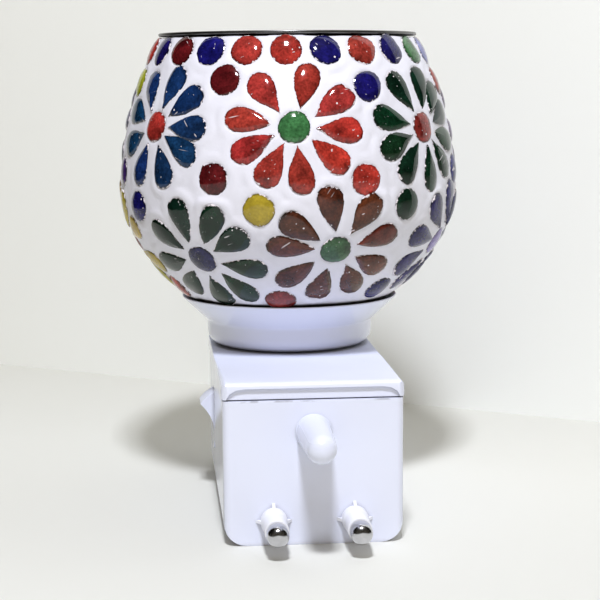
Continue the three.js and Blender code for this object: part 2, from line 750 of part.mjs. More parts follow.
function roundChip(radius) {
  return new THREE.Shape(new THREE.Path().absarc(0, 0, radius, 0, 2 * Math.PI).getPoints(chipSides / 2));
}

// A teardrop whose length runs outwards from the flower at an angle from upright, about its middle
function petalChip(angle) {
  const middle = (petalPoint + petalEnd) / 2;
  const headPlace = petalEnd - petalHeadRadius;
  const tangent = Math.acos(petalHeadRadius / (headPlace - petalPoint));
  const points = [[0, petalPoint - middle]];
  for (let i = 0; i <= petalHeadSides; i += 1) {
    const swing = -Math.PI / 2 + tangent + (i / petalHeadSides) * (2 * Math.PI - 2 * tangent);
    const across = petalHeadRadius * Math.cos(swing);
    points.push([across, headPlace - middle + petalHeadRadius * Math.sin(swing)]);
  }
  const origin = new THREE.Vector2();
  return new THREE.Shape(points.map(([x, y]) => new THREE.Vector2(x, y).rotateAround(origin, -angle)));
}

// One flower: a disc with petals round it, each flat on the globe where it lies
function flower(azimuth, distance, turn) {
  const chips = [chip(roundChip(discRadius), azimuth, distance)];
  const middle = (petalPoint + petalEnd) / 2;
  for (let i = 0; i < petalCount; i += 1) {
    const angle = THREE.MathUtils.degToRad(turn + (i / petalCount) * 360);
    const place = distance + middle * Math.cos(angle);
    const swing = middle * Math.sin(angle) / globePlace(place).point.x;
    chips.push(chip(petalChip(angle), azimuth + THREE.MathUtils.radToDeg(swing), place));
  }
  return chips;
}

// Mosaic coat: the grout skin with every chip standing slightly proud of it
function makeMosaicCoat() {
  const step = 360 / flowerCount;
  const chips = [];
  const shifted = (azimuth, distance, [turn, rise]) => [azimuth + turn, distance + rise];
  for (let i = 0; i < flowerCount; i += 1) {
    const upper = upperFlowerTurn + i * step;
    const lower = lowerFlowerTurn + i * step;
    const spin = petalTurn + i * petalTurnStep;
    chips.push(...flower(...shifted(upper, upperFlowerPlace, upperFlowerShifts[i]), spin));
    chips.push(...flower(...shifted(lower, lowerFlowerPlace, lowerFlowerShifts[i]), spin - 1.5 * petalTurn));
    const dots = [
      shifted(upper + step / 2, upperDotPlace, upperDotShifts[i]),
      shifted(upper + step / 2, middleDotPlace, middleDotShifts[i]),
      shifted(lower + step / 2, beltDotPlace, beltDotShifts[i]),
      shifted(lower + step / 2, footDotPlace, footDotShifts[i]),
    ];
    chips.push(...dots.map(([azimuth, distance]) => chip(roundChip(dotRadius), azimuth, distance)));
  }
  for (let i = 0; i < rimDotCount; i += 1) {
    chips.push(chip(roundChip(dotRadius), rimDotTurn + (i / rimDotCount) * 360, rimDotPlace));
  }
  return chips.reduce((coat, each) => coat.add(each), globeSkin(0, coatThickness, coatFootAngle));
}

function makeGlobeGlass() {
  const outerDepth = coatThickness + fit;
  return globeSkin(outerDepth, outerDepth + glassThickness, glassFootAngle);
}

// Collar: floor, round lower edge, wall and a flare whose inside carries the coat's foot
function makeCollar() {
  const floorTop = collarFoot + collarFloor;
  const hole = holderRadius + fit;
  const flareFoot = seatHeight - (seatX - collarInner) * flareSlope;
  const profile = new THREE.Path();
  profile.moveTo(hole, collarFoot);
  profile.absarc(
    collarWallRadius - collarEdgeRadius, collarFoot + collarEdgeRadius, collarEdgeRadius, -Math.PI / 2, 0
  );
  profile.lineTo(collarWallRadius, collarWaist);
  profile.lineTo(collarRimRadius, collarRimHeight);
  profile.lineTo(collarRimInner, collarRimHeight);
  profile.lineTo(collarInner, flareFoot);
  profile.lineTo(collarInner, floorTop + collarThickness);
  profile.lineTo(collarInner - collarThickness, floorTop);
  profile.lineTo(hole, floorTop);
  profile.closePath();
  return turned(profile, globeSides, 2);
}

// Lampholder places along the axis
const flangeBottom = collarFoot + collarFloor + fit;
const holderBottom = nutBottom - holderDrop;
const holderBore = shellRadius + fit;
const holderInside = holderBottom + holderFloor;
const tongueTop = holderInside + fit + tongueThickness + tongueRise;
const bulbFoot = tongueTop + fit;
const capBottom = bulbFoot + bulbTipHeight + insulatorHeight + fit;
const capTop = capBottom + capHeight;
const holderTop = capTop + holderLip;
const capRadius = shellRadius - shellWall - fit;
const shellBottom = capBottom;
const tagMiddle = shellRadius + tagThickness / 2 - shellWall;
const tagBottom = holderBottom - tagReach;
const tongueX = shellRadius - tongueInset;

// Lampholder body: a cup through the collar and the lid, with a flange and slots for its two contacts
function makeHolder() {
  const flangeTop = flangeBottom + holderFlangeThickness;
  const holder = turned(outline([
    [0, holderBottom], [holderRadius, holderBottom], [holderRadius, flangeBottom],
    [holderFlangeRadius, flangeBottom], [holderFlangeRadius, flangeTop], [holderRadius, flangeTop],
    [holderRadius, holderTop], [holderBore, holderTop], [holderBore, holderInside], [0, holderInside],
  ]));
  return holder.subtract(shellTag(fit)).subtract(tongueLeg(fit));
}

// Leg of the screw shell, down through the lampholder's floor on the -Y side, with a margin all round
function shellTag(margin) {
  return block(
    -tagWidth / 2 - margin, tagWidth / 2 + margin,
    -tagMiddle - tagThickness / 2 - margin, -tagMiddle + tagThickness / 2 + margin,
    tagBottom - margin, shellBottom + tagWidth + margin
  );
}

function makeScrewShell() {
  const bore = shellRadius - shellWall;
  const top = capTop - shellDrop;
  return turned(outline([
    [bore, shellBottom], [shellRadius, shellBottom], [shellRadius, top], [bore, top],
  ])).add(shellTag(0));
}

// Leg of the centre contact, down through the lampholder's floor on the +X side, with a margin all round
function tongueLeg(margin) {
  return block(
    tongueX - margin, tongueX + tongueThickness + margin,
    -tongueWidth / 2 - margin, tongueWidth / 2 + margin,
    tagBottom - margin, holderInside + fit + tongueThickness + margin
  );
}

// Centre contact: a leg and a springy tongue that rises to the bulb's tip
function makeCentreContact() {
  const low = holderInside + fit;
  const tongue = new THREE.Shape([
    new THREE.Vector2(tongueX + tongueThickness, low),
    new THREE.Vector2(tongueX + tongueThickness, low + tongueThickness),
    new THREE.Vector2(0, tongueTop),
    new THREE.Vector2(-tongueEnd, tongueTop - tongueRise / 2),
    new THREE.Vector2(-tongueEnd, tongueTop - tongueRise / 2 - tongueThickness),
    new THREE.Vector2(0, tongueTop - tongueThickness),
  ]);
  return extruded(tongue, 'y', -tongueWidth / 2, tongueWidth / 2).add(tongueLeg(0));
}

// Ring nut under the lid
function makeRingNut() {
  const bore = holderRadius + fit;
  return turned(outline([[bore, nutBottom], [nutRadius, nutBottom], [nutRadius, nutTop], [bore, nutTop]]));
}

// Bulb pieces
function makeBulbTip() {
  const profile = new THREE.Path();
  profile.moveTo(0, bulbFoot);
  profile.quadraticCurveTo(bulbTipRadius, bulbFoot, bulbTipRadius, bulbFoot + bulbTipHeight);
  profile.lineTo(0, bulbFoot + bulbTipHeight);
  return turned(profile, smallSides);
}

function makeBulbInsulator() {
  const bottom = bulbFoot + bulbTipHeight + fit;
  const top = capBottom - fit;
  const profile = outline([[0, bottom], [bulbTipRadius, bottom], [capRadius - capWall, top], [0, top]]);
  return turned(profile, smallSides);
}

function makeBulbCap() {
  const bore = capRadius - capWall;
  const lip = capRadius - capBottomLip;
  return turned(outline([
    [lip, capBottom], [capRadius, capBottom], [capRadius, capTop], [bore, capTop],
    [bore, capBottom + capWall], [lip, capBottom + capWall],
  ]));
}

// Bulb glass: a straight neck in the cap, a swelling shoulder and a round top
function makeBulbGlass() {
  const neck = capRadius - capWall - fit;
  const bottom = capTop - bulbNeckDepth;
  const middle = capTop + bulbGlassHeight - bulbGlassRadius;
  const side = (profile, inset, down) => {
    const radius = bulbGlassRadius - inset;
    const throat = neck - inset;
    const rise = capTop + bulbNeckRise;
    if (down) {
      profile.absarc(0, middle, radius, Math.PI / 2, 0, true);
      profile.bezierCurveTo(radius, rise + radius, throat, rise + radius, throat, rise);
      profile.lineTo(throat, bottom);
    } else {
      profile.lineTo(throat, rise);
      profile.bezierCurveTo(throat, rise + radius, radius, rise + radius, radius, middle);
      profile.absarc(0, middle, radius, 0, Math.PI / 2);
    }
  };
  const profile = new THREE.Path();
  profile.moveTo(neck, bottom);
  side(profile, 0, false);
  side(profile, bulbGlassWall, true);
  profile.closePath();
  return turned(profile);
}

function makeBulbStem() {
  const bottom = capTop - bulbNeckDepth;
  const flare = capRadius - capWall - fit - bulbGlassWall - fit;
  const profile = new THREE.Path();
  profile.moveTo(0, bottom);
  profile.lineTo(flare, bottom);
  profile.quadraticCurveTo(stemRadius, bottom + stemRadius, stemRadius, bottom + stemHeight);
  profile.lineTo(0, bottom + stemHeight);
  return turned(profile, smallSides);
}

function makeFilament() {
  const foot = capTop - bulbNeckDepth + stemHeight + fit;
  const gap = stemRadius / 2;
  const top = foot + filamentRise;
  return wire([
    [-gap, 0, foot], [-filamentSpread, 0, top - filamentRise / 3], [-filamentSpread / 2, 0, top],
    [filamentSpread / 2, 0, top], [filamentSpread, 0, top - filamentRise / 3], [gap, 0, foot],
  ], filamentRadius, shortWireSteps);
}

// Dish: a shallow bowl that hangs in the globe's mouth by its flange
function makeDish() {
  const under = rimHeight + fit;
  const top = under + dishThickness;
  const floor = top - dishDepth;
  const flange = rimRadius + dishOverhang;
  const bowl = rimRadius - coatThickness - fit - glassThickness - dishClearance;
  const foot = bowl - dishTaper;
  const inner = bowl - dishThickness;
  const innerFoot = foot - dishThickness;
  const profile = new THREE.Path();
  profile.moveTo(0, floor);
  profile.lineTo(foot, floor);
  profile.quadraticCurveTo(bowl, floor, bowl, under);
  profile.lineTo(flange, under);
  profile.lineTo(flange, top);
  profile.lineTo(inner, top);
  profile.quadraticCurveTo(inner, floor + dishThickness, innerFoot, floor + dishThickness);
  profile.lineTo(0, floor + dishThickness);
  return turned(profile, globeSides);
}

// Wire ends: the pins' tails, the switch blades and the lampholder's two legs
const tailEnd = -plateReach + blockBack + fit + pinShoulderLength + pinTailLength + fit;
const bladeHeight = switchHeight + contactMiddle;
const bladeGap = bladeEnd + fit;
const legEnd = tagBottom - fit;
const lineY = switchY - contactSpread / 2;
const lampY = switchY + contactSpread / 2;
const tongueMiddle = tongueX + tongueThickness / 2;
const lineWire = [
  [-pinX, tailEnd, pinHeight],
  [-pinX + pinStubLean, tailEnd + pinStub, pinHeight],
  ...lineBends,
  [bladeGap + bladeTurn, lineY - bendDrop, bladeHeight - bendDrop],
  [bladeGap + bladeStub, lineY, bladeHeight],
  [bladeGap, lineY, bladeHeight],
];
const neutralWire = [
  [pinX, tailEnd, pinHeight],
  [pinX - pinStubLean, tailEnd + pinStub, pinHeight],
  ...neutralBends,
  [0, -tagMiddle - bendDrop, legEnd - 2 * legStub],
  [0, -tagMiddle, legEnd - legStub],
  [0, -tagMiddle, legEnd],
];
const switchedWire = [
  [bladeGap, lampY, bladeHeight],
  [bladeGap + bladeStub, lampY, bladeHeight],
  ...switchedBends.map(([x, drop]) => [x, 0, bladeHeight - drop]),
  [tongueMiddle, 0, legEnd - legStub],
  [tongueMiddle, 0, legEnd],
];

// Assembly
const burner = new THREE.Group();
burner.add(piece('body_tray', makeTray(), glossAbs));
burner.add(piece('body_lid', makeLid(), glossAbs));
posts.forEach(([x, y], i) => {
  const screw = piece(`lid_screw_${i + 1}`, makeScrew(), steel);
  screw.position.set(x, y, 0);
  burner.add(screw);
});

const plug = new THREE.Group();
plug.position.set(0, -plateReach, 0);
plug.rotation.x = Math.PI / 2;
for (const [name, x] of [['line', -pinX], ['neutral', pinX]]) {
  const pin = piece(`${name}_pin`, makePin(), nickel);
  const sleeve = piece(`${name}_pin_sleeve`, makeSleeve(), sleeveNylon);
  pin.position.set(x, pinHeight, 0);
  sleeve.position.set(x, pinHeight, 0);
  plug.add(pin, sleeve);
}
const earthPin = piece('earth_dummy_pin', makeEarthPin(), glossAbs);
earthPin.position.set(0, earthHeight, 0);
plug.add(earthPin);
burner.add(plug);

burner.add(piece('switch_case', makeSwitchCase(), glossAbs));
burner.add(piece('switch_contact_line', makeContact(-1), brass));
burner.add(piece('switch_contact_lamp', makeContact(1), brass));
const rocker = new THREE.Group();
rocker.position.set(pivotX, switchY, switchHeight);
rocker.rotation.y = -rockerTilt;
rocker.add(piece('switch_rocker', makeRocker(), glossAbs));
rocker.add(piece('switch_bridge', makeBridge(), brass));
burner.add(rocker);

burner.add(piece('globe_collar', makeCollar(), glossAbs));
burner.add(piece('lampholder_body', makeHolder(), phenolic));
burner.add(piece('lampholder_screw_shell', makeScrewShell(), brass));
burner.add(piece('lampholder_centre_contact', makeCentreContact(), brass));
burner.add(piece('lampholder_ring_nut', makeRingNut(), phenolic));
burner.add(piece('bulb_tip', makeBulbTip(), steel));
burner.add(piece('bulb_insulator', makeBulbInsulator(), blackGlass));
burner.add(piece('bulb_cap', makeBulbCap(), nickel));
burner.add(piece('bulb_glass', makeBulbGlass(), clearGlass));
burner.add(piece('bulb_stem', makeBulbStem(), clearGlass));
burner.add(piece('bulb_filament', makeFilament(), tungsten));
burner.add(piece('wire_line', wire(lineWire, wireRadius, wireSteps), redWire));
burner.add(piece('wire_neutral', wire(neutralWire, wireRadius, wireSteps), blackWire));
burner.add(piece('wire_switched', wire(switchedWire, wireRadius, shortWireSteps), redWire));
burner.add(piece('globe_glass', makeGlobeGlass(), clearGlass));
burner.add(piece('mosaic_coat', makeMosaicCoat(), mosaicWhite));
burner.add(piece('camphor_dish', makeDish(), aluminium));

export default burner;
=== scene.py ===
"""Looks of the electric camphor burner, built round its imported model.

The frame is in metres with +Z up, the globe's axis on Z, the pins along -Y and the base on Z = 0.
Sizes below are in millimetres, and MM turns them to metres.
"""

import math

import bmesh
import bpy
import numpy as np
from mathutils import Matrix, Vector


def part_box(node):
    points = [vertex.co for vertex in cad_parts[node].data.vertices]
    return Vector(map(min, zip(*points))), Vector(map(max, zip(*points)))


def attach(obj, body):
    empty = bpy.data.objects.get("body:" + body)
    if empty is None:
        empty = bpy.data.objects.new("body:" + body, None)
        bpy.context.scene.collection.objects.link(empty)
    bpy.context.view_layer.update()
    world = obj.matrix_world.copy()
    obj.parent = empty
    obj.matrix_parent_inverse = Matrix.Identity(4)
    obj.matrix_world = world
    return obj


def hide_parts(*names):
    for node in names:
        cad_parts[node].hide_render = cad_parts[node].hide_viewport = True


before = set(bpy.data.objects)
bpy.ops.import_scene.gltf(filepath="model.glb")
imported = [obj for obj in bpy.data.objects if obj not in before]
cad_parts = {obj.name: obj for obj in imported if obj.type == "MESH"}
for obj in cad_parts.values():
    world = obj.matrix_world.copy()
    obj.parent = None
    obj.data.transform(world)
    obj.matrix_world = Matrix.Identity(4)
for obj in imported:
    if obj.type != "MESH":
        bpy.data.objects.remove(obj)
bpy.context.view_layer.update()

MM = 0.001
SAME_POINT = 0.002  # points nearer than this are one
ARC_STEPS = 6
PIN_SIDES = 48
SIDES = 64
FINE_SIDES = 128
SHARP_FROM = math.radians(35)  # edges of made meshes that turn by more than this stay sharp
CHANCE_SEED = 11


def corners_of(name):
    """Lowest and highest corners of a CAD node at rest, in millimetres."""
    low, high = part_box(name)
    return low / MM, high / MM


# Camera, fitted to the photograph's square frame
PHOTO_PIXELS = 600
FOCAL_PIXELS = 1629.3
SENSOR_WIDTH = 36
CAMERA_PLACE = (-36.8, -433.7, 109.9)
CAMERA_YAW = math.radians(5.23)
CAMERA_PITCH = math.radians(8.0)
CAMERA_ROLL = math.radians(-0.37)
CAMERA_NEAR = 10

# Table, wall and light
FLOOR_REACH = 1500
FLOOR_LEFT = -350
FLOOR_TONES = ("#e0e0da", "#e5e5e0")
WALL_DISTANCE = 104
WALL_TURN = math.radians(-33)
WALL_LEFT = -420
WALL_RIGHT = 185
WALL_TONES = ("#f4f6f4", "#f7f9f8")
SKY_LEVEL = 0.5
SKY_TONES = ("#57534a", "#fff0cf")  # behind the burner and in front of it
SKY_FRONT = -0.8  # Y on the sky's unit sphere past which the front tone is full
SKY_SEEN_TONE = "#eae9e4"
SKY_MIRRORED = 0.05  # the room in front is dark where the glass and the metal mirror it
CEILING_MIRRORED = 0.7  # its ceiling is bright, from one height on the sky's unit sphere to another
CEILING_START = 0.8
CEILING_FULL = 0.95
KEY_PLACE = (-45, -410, 680)
KEY_AIM = (0, 0, 50)
KEY_SIZE = 90
KEY_POWER = 5.3
KEY_TONE = "#f4f7ff"

# Housing
tray_low, tray_high = corners_of("body_tray")
PLATE_Y = tray_low.y
SEAM_HEIGHT = tray_high.z
ROUNDED_FROM = math.radians(32)  # edges that turn by more than this are rounded
FLAT_WITHIN = math.radians(1)
ROUNDING_STEPS = 3
TRAY_EDGE = 0.9
LID_EDGE = 0.3
ROCKER_EDGE = 0.35
SCREW_EDGE = 0.12

# Rounding of turned and moulded edges that nothing else sets
FINE_EDGE = 0.1
EDGE = 0.2

# Mains pins and the dummy earth pin, measured outwards from the pin face
pin_low, pin_high = corners_of("neutral_pin")
sleeve_low, sleeve_high = corners_of("neutral_pin_sleeve")
earth_low, earth_high = corners_of("earth_dummy_pin")
PIN_X = (pin_low.x + pin_high.x) / 2
PIN_HEIGHT = (pin_low.z + pin_high.z) / 2
PIN_TIP = PLATE_Y - pin_low.y
PIN_RADIUS = 2.54
PIN_NECK = 1.9
PIN_ROUND = 2.0
PIN_TAIL = PLATE_Y - pin_high.y
PIN_TAIL_RADIUS = 1.6
SHOULDER_BACK = -11.3
SHOULDER_FRONT = -9.3
SHOULDER_RADIUS = pin_high.x - PIN_X
SLEEVE_BACK = PLATE_Y - sleeve_high.y
SLEEVE_FRONT = PLATE_Y - sleeve_low.y
SLEEVE_RADIUS = 2.85
SLEEVE_BORE = 2.2
SLEEVE_ROOT = 3.15
SLEEVE_ROOT_LENGTH = 2.4
SLEEVE_TAPER = 1
SLEEVE_SWELL_DEPTH = 0.3
SLEEVE_ROUND = 0.5
SLEEVE_END_ROUND = 0.3
PIN_STEP = SLEEVE_FRONT + 0.3
PIN_STEP_ROUND = 0.15
FIN_COUNT = 4
FIN_FOOT = SLEEVE_BORE + 0.3
FIN_REACH = sleeve_high.x - PIN_X - SLEEVE_RADIUS
FIN_LENGTH = 2.6
FIN_THICKNESS = 0.7
FIN_NOSE = 0.5
FIN_NOSE_SHARE = 0.7
EARTH_HEIGHT = (earth_low.z + earth_high.z) / 2
EARTH_TIP = PLATE_Y - earth_low.y
EARTH_ROOT_RADIUS = earth_high.x
EARTH_TIP_RADIUS = 3.3
EARTH_STUB_RADIUS = 3.0
EARTH_FLANGE_RADIUS = 4.0
EARTH_FLANGE_FRONT = -3.3
EARTH_FLANGE_BACK = PLATE_Y - earth_high.y
EARTH_SUNK = -0.05
EARTH_SKIRT = 0.3
EARTH_SKIRT_LENGTH = 0.5
EARTH_SKIRT_ROUND = 0.4

# Collar
collar_low, collar_high = corners_of("globe_collar")
COLLAR_FOOT = collar_low.z
COLLAR_RIM = collar_high.z
COLLAR_RIM_RADIUS = collar_high.x
COLLAR_HOLE = 11.8
COLLAR_WALL = 22
COLLAR_INNER = 20.4
COLLAR_FLOOR = 2
COLLAR_WAIST_RISE = 6.4
COLLAR_FLARE_FOOT_RISE = 8.3
COLLAR_LIP = 0.5
COLLAR_FOOT_ROUND = 3.4
COLLAR_WAIST_ROUND = 1.5
COLLAR_LIP_ROUND = 0.15
COLLAR_FLARE_ROUND = 1.2
COLLAR_FLOOR_ROUND = 1.4

# Lampholder and bulb
holder_low, holder_high = corners_of("lampholder_body")
HOLDER_LOW = holder_low.z
HOLDER_HIGH = holder_high.z
HOLDER_FLANGE_RADIUS = holder_high.x
HOLDER_RADIUS = 11.5
HOLDER_BORE = 7.7
HOLDER_FLOOR = 2.5
HOLDER_FLANGE_LOW = COLLAR_FOOT + 2.3
HOLDER_FLANGE_THICKNESS = 2
HOLDER_FOOT_ROUND = 0.8
HOLDER_FLANGE_ROUND = 0.4
HOLDER_FLANGE_TOP_ROUND = 0.6
HOLDER_RIM_ROUND = 0.9
HOLDER_MOUTH_ROUND = 0.5
HOLDER_CORNER = 0.3
cap_low, cap_high = corners_of("bulb_cap")
CAP_LOW = cap_low.z
CAP_HIGH = cap_high.z
CAP_RADIUS = cap_high.x
CAP_BORE = 5.8
CAP_LIP = 4.3
CAP_FLOOR = 0.4
CAP_ROWS = 72
THREAD_PITCH = 2.82
THREAD_DEPTH = 0.45
THREAD_PLAIN = 0.6
THREAD_FADE = 2
bulb_low, bulb_high = corners_of("bulb_glass")
BULB_LOW = bulb_low.z
BULB_HIGH = bulb_high.z
BULB_RADIUS = bulb_high.x
BULB_NECK = 6.0
BULB_NECK_TOP = CAP_HIGH + 3
BULB_WALL = 0.8
BULB_ROWS = 24

# Camphor dish
dish_low, dish_high = corners_of("camphor_dish")
DISH_LOW = dish_low.z
DISH_HIGH = dish_high.z
DISH_FLANGE = dish_high.x
DISH_BOWL = 25
DISH_SHEET = 0.8
DISH_FOOT_ROUND = 6
DISH_FLOOR_ROUND = 5.3
DISH_BEND = 0.6
DISH_MOUTH_ROUND = 1.0
DISH_EDGE = 0.3

# Globe outline: distances run along it from the belly, up to the rim and down to the foot
glass_high = corners_of("globe_glass")[1]
GLASS_OUTER = 2.3  # how far the outer and inner faces of the glass lie inside the outline
GLASS_INNER = 4.3
GLASS_FOOT_ARC = math.radians(33.6)
GLASS_ROWS = 60
GLOBE_RADIUS = glass_high.x + GLASS_OUTER
GLOBE_RIM_RADIUS = 33.6
CROWN_RISE = 39.2
BELLY_HEIGHT = glass_high.z - CROWN_RISE
BELLY_ARC_RADIUS = 25
BELLY_ARC = math.radians(28)
FOOT_ARC_RADIUS = 54
RIM_INSET = GLOBE_RADIUS - GLOBE_RIM_RADIUS
CROWN_ARC_RADIUS = (CROWN_RISE**2 + RIM_INSET**2) / (2 * RIM_INSET)
CROWN_LENGTH = CROWN_ARC_RADIUS * math.asin(CROWN_RISE / CROWN_ARC_RADIUS)
BELLY_LENGTH = BELLY_ARC_RADIUS * BELLY_ARC
COAT_THICKNESS = 2
COAT_FOOT_ARC = math.radians(27.9)
COAT_FOOT = -BELLY_LENGTH - FOOT_ARC_RADIUS * COAT_FOOT_ARC
GLASS_FOOT = -BELLY_LENGTH - FOOT_ARC_RADIUS * GLASS_FOOT_ARC

# Mosaic, placed as in the solids
FLOWER_COUNT = 7
UPPER_PLACE = 17
UPPER_TURN = -3.8
LOWER_PLACE = -15.4
LOWER_TURN = 11.4
PETAL_COUNT = 9
PETAL_POINT = 5.3
PETAL_END = 17.2
PETAL_HALF_WIDTH = 3.3
PETAL_SWELL = 1.25
PETAL_WANDER = 2.5
UPPER_SQUASH = 0.93
DISC_RADIUS = 4
DOT_RADIUS = 4
UPPER_DOT_PLACE = 28
MIDDLE_DOT_PLACE = 4.6
BELT_DOT_PLACE = -2.8
FOOT_DOT_PLACE = -30
RIM_DOT_COUNT = 23
RIM_DOT_PLACE = 36.9
RIM_DOT_TURN = -5.4
CHIP_POINTS = 18
CHIP_PROUD = 0.14
CHIP_DOME = 0.72
CHIP_EDGE_DROP = 0.15
CHIP_DEPTH = 0.8
CHIP_TILT = math.radians(2.0)
CHIP_RINGS = (0.55, 0.88)
CHIP_SHARP_FROM = math.radians(30)
CHIP_WAVES = (2, 3, 4)
CHIP_WAVE_SHIFT = 6.3  # a wave starts anywhere on a full turn
CHIP_WANDER = 0.02
CHIP_NIBBLES = (0.004, 0.012, 0.035)  # most chips are cut clean, some are nibbled
CHIP_NIBBLE_SHARES = (0.45, 0.35, 0.2)
CHIP_SEED_SPAN = 9
GROUT_COLUMNS = 480
GROUT_ROWS = 150
GROUT_INNER_ROWS = 24
GROUT_REACH = 1.1
GROUT_SEARCH = 9.0
GROUT_HOLD = 0.03
GROUT_FOLLOW = 0.6
GROUT_LUMP = 0.035
GROUT_LUMP_WAVES = (5, 9, 14)
GROUT_LUMP_TURN = 1.7
GROUT_LUMP_RATE = 0.09
GROUT_LUMP_FADE = 2
GROUT_HOLLOW = 0.5
GROUT_HOLLOW_FADE = 0.5
GROUT_END_DROP = 0.5
GROUT_END_REACH = 0.8

# Glass colours, how far one chip's colour strays from the next, and where they lie round the globe
MELT_SPREAD = 0.1
GLASS = {
    "red": "#97302a", "deep_red": "#541318", "navy": "#1a1560", "blue": "#143059", "dark_green": "#0d2a1b",
    "green": "#3a6643", "brown": "#52281a", "indigo": "#27245a", "yellow": "#ad9b2a", "lavender": "#8d88b4",
    "violet": "#4a2a66",
}
UPPER_FLOWERS = [
    ("red", "green"), ("dark_green", "red"), ("violet", "yellow"), ("brown", "navy"),
    ("red", "green"), ("navy", "yellow"), ("blue", "red"),
]
LOWER_FLOWERS = [
    ("brown", "green"), ("indigo", "lavender"), ("red", "yellow"), ("blue", "red"),
    ("dark_green", "violet"), ("yellow", "red"), ("dark_green", "indigo"),
]
UPPER_DOTS = ["navy", "red", "green", "deep_red", "navy", "yellow", "deep_red"]
MIDDLE_DOTS = ["red", "navy", "yellow", "red", "green", "violet", "deep_red"]
BELT_DOTS = ["dark_green", "red", "yellow", "navy", "red", "navy", "yellow"]
FOOT_DOTS = ["navy", "red", "green", "navy", "yellow", "red", "red"]

# Degrees from upright to the first petal of each flower; the flowers at the front are set petal by petal
UPPER_PETAL_TURNS = [11, 0, 25, 32, 39, 46, 12]
LOWER_PETAL_TURNS = [-11, 1.5, 8.5, 15.5, 22.5, 29.5, 22.5]
UPPER_HAND_SET = {
    0: [14.7, 58, 94.6, 130.3, 173, 209, 243.5, 279, 323],
    1: [14.9, 46, 74, 106, 139, 173.6, 216.6, 248.6, 282.4, 330.6],
    6: [18, 55, 90.5, 119.1, 158.4, 204.5, 248, 288, 331.4],
}
LOWER_HAND_SET = {0: [-10.7, 35.4, 74.7, 115, 149.4, 189.2, 230.5, 275.3, 302.7]}

# How far flowers and dots lie off the even pattern: degrees round the globe, distance up it
UPPER_FLOWER_SHIFTS = [(1, 0.2), (0.3, -0.6), (0, 0), (-0.5, 0.4), (0.6, 0), (0, -0.3), (-1, 0)]
LOWER_FLOWER_SHIFTS = [(0.3, 1.7), (3, 1.2), (0, 0), (0, -0.4), (0.5, 0), (0, 0.3), (1.2, -1.6)]
UPPER_DOT_SHIFTS = [(2.9, -0.8), (0, 0.4), (0.5, 0), (0, -0.3), (-0.5, 0), (0, 0.3), (1.5, 1)]
MIDDLE_DOT_SHIFTS = [(-1.3, -0.4), (0, 0.3), (0, -0.4), (0.5, 0), (0, 0), (-0.5, 0.2), (0, 0)]
BELT_DOT_SHIFTS = [(0, 0.4), (0.5, 0), (0, -0.3), (0, 0.4), (-0.5, 0), (0.4, -0.6), (0, 0)]
FOOT_DOT_SHIFTS = [(3.8, 1.6), (0, 0), (0.6, 0.3), (0, 0), (-0.6, 0), (-6, 1), (5.3, -1.2)]
RIM_DOTS = [
    "red", "navy", "red", "navy", "green", "lavender", "red", "navy", "deep_red", "green", "red", "navy",
    "yellow", "red", "navy", "deep_red", "green", "navy", "red", "navy", "deep_red", "navy", "red",
]


def linear(hex_colour):
    """sRGB hex to linear RGBA: c / 12.92 below 0.04045, else ((c + 0.055) / 1.055) ** 2.4."""
    srgb = np.array([int(hex_colour[i:i + 2], 16) for i in (1, 3, 5)]) / 255
    level = np.where(srgb <= 0.04045, srgb / 12.92, ((srgb + 0.055) / 1.055) ** 2.4)
    return (*level.tolist(), 1.0)


def per_mm(size):
    """Texture scale that makes one feature of a pattern on Object coordinates so many millimetres wide."""
    return 1 / (size * MM)


def output(source):
    """A node's first output; an output or a plain value stays as it is."""
    return source.outputs[0] if isinstance(source, bpy.types.Node) else source


def node(tree, kind, inputs=None, **settings):
    """Adds a shader node, sets its properties, and links or sets its inputs by name or number."""
    made = tree.nodes.new(f"ShaderNode{kind}")
    for name, value in settings.items():
        setattr(made, name, value)
    for name, value in (inputs or {}).items():
        source = output(value)
        if isinstance(source, bpy.types.NodeSocket):
            tree.links.new(source, made.inputs[name])
        else:
            made.inputs[name].default_value = source
    return made


def noise(tree, place, size, detail, seed=None, roughness=0.5):
    """Noise with features of a size in millimetres; a seed shifts it through a fourth dimension."""
    inputs = {"Vector": place, "Scale": per_mm(size), "Detail": detail, "Roughness": roughness}
    if seed is None:
        return node(tree, "TexNoise", inputs)
    return node(tree, "TexNoise", {**inputs, "W": seed}, noise_dimensions="4D")


def ramp(tree, value, start=0, end=1, low=0, high=1, curve="LINEAR"):
    """A level that goes from low to high while a value goes from its start to its end."""
    return node(tree, "MapRange", {
        "Value": value, "From Min": start, "From Max": end, "To Min": low, "To Max": high,
    }, interpolation_type=curve)


def reckon(tree, operation, *values):
    """The result of an operation on values and nodes."""
    return node(tree, "Math", dict(enumerate(values)), operation=operation)


def blend(tree, share, low, high):
    """The colour at a share of the way between two, each a hex colour or a node."""
    ends = [linear(end) if isinstance(end, str) else end for end in (low, high)]
    return node(tree, "Mix", {"Factor": share, 6: ends[0], 7: ends[1]}, data_type="RGBA").outputs[2]


def relief(tree, height, strength, depth):
    """A surface made uneven by heights, to a depth in millimetres."""
    return node(tree, "Bump", {"Height": height, "Strength": strength, "Distance": depth * MM})


def new_material(name, **sockets):
    """A node material with these constant shader sockets; returns it, its tree, shader and place."""
    material = bpy.data.materials.new(name)
    material.use_nodes = True
    tree = material.node_tree
    shader = tree.nodes["Principled BSDF"]
    for socket, value in sockets.items():
        shader.inputs[socket.replace("_", " ")].default_value = value
    place = node(tree, "TexCoord").outputs["Object"]
    return material, tree, shader, place


def dress(shader, **sources):
    """Links nodes to a shader's sockets."""
    for socket, source in sources.items():
        shader.id_data.links.new(output(source), shader.inputs[socket.replace("_", " ")])


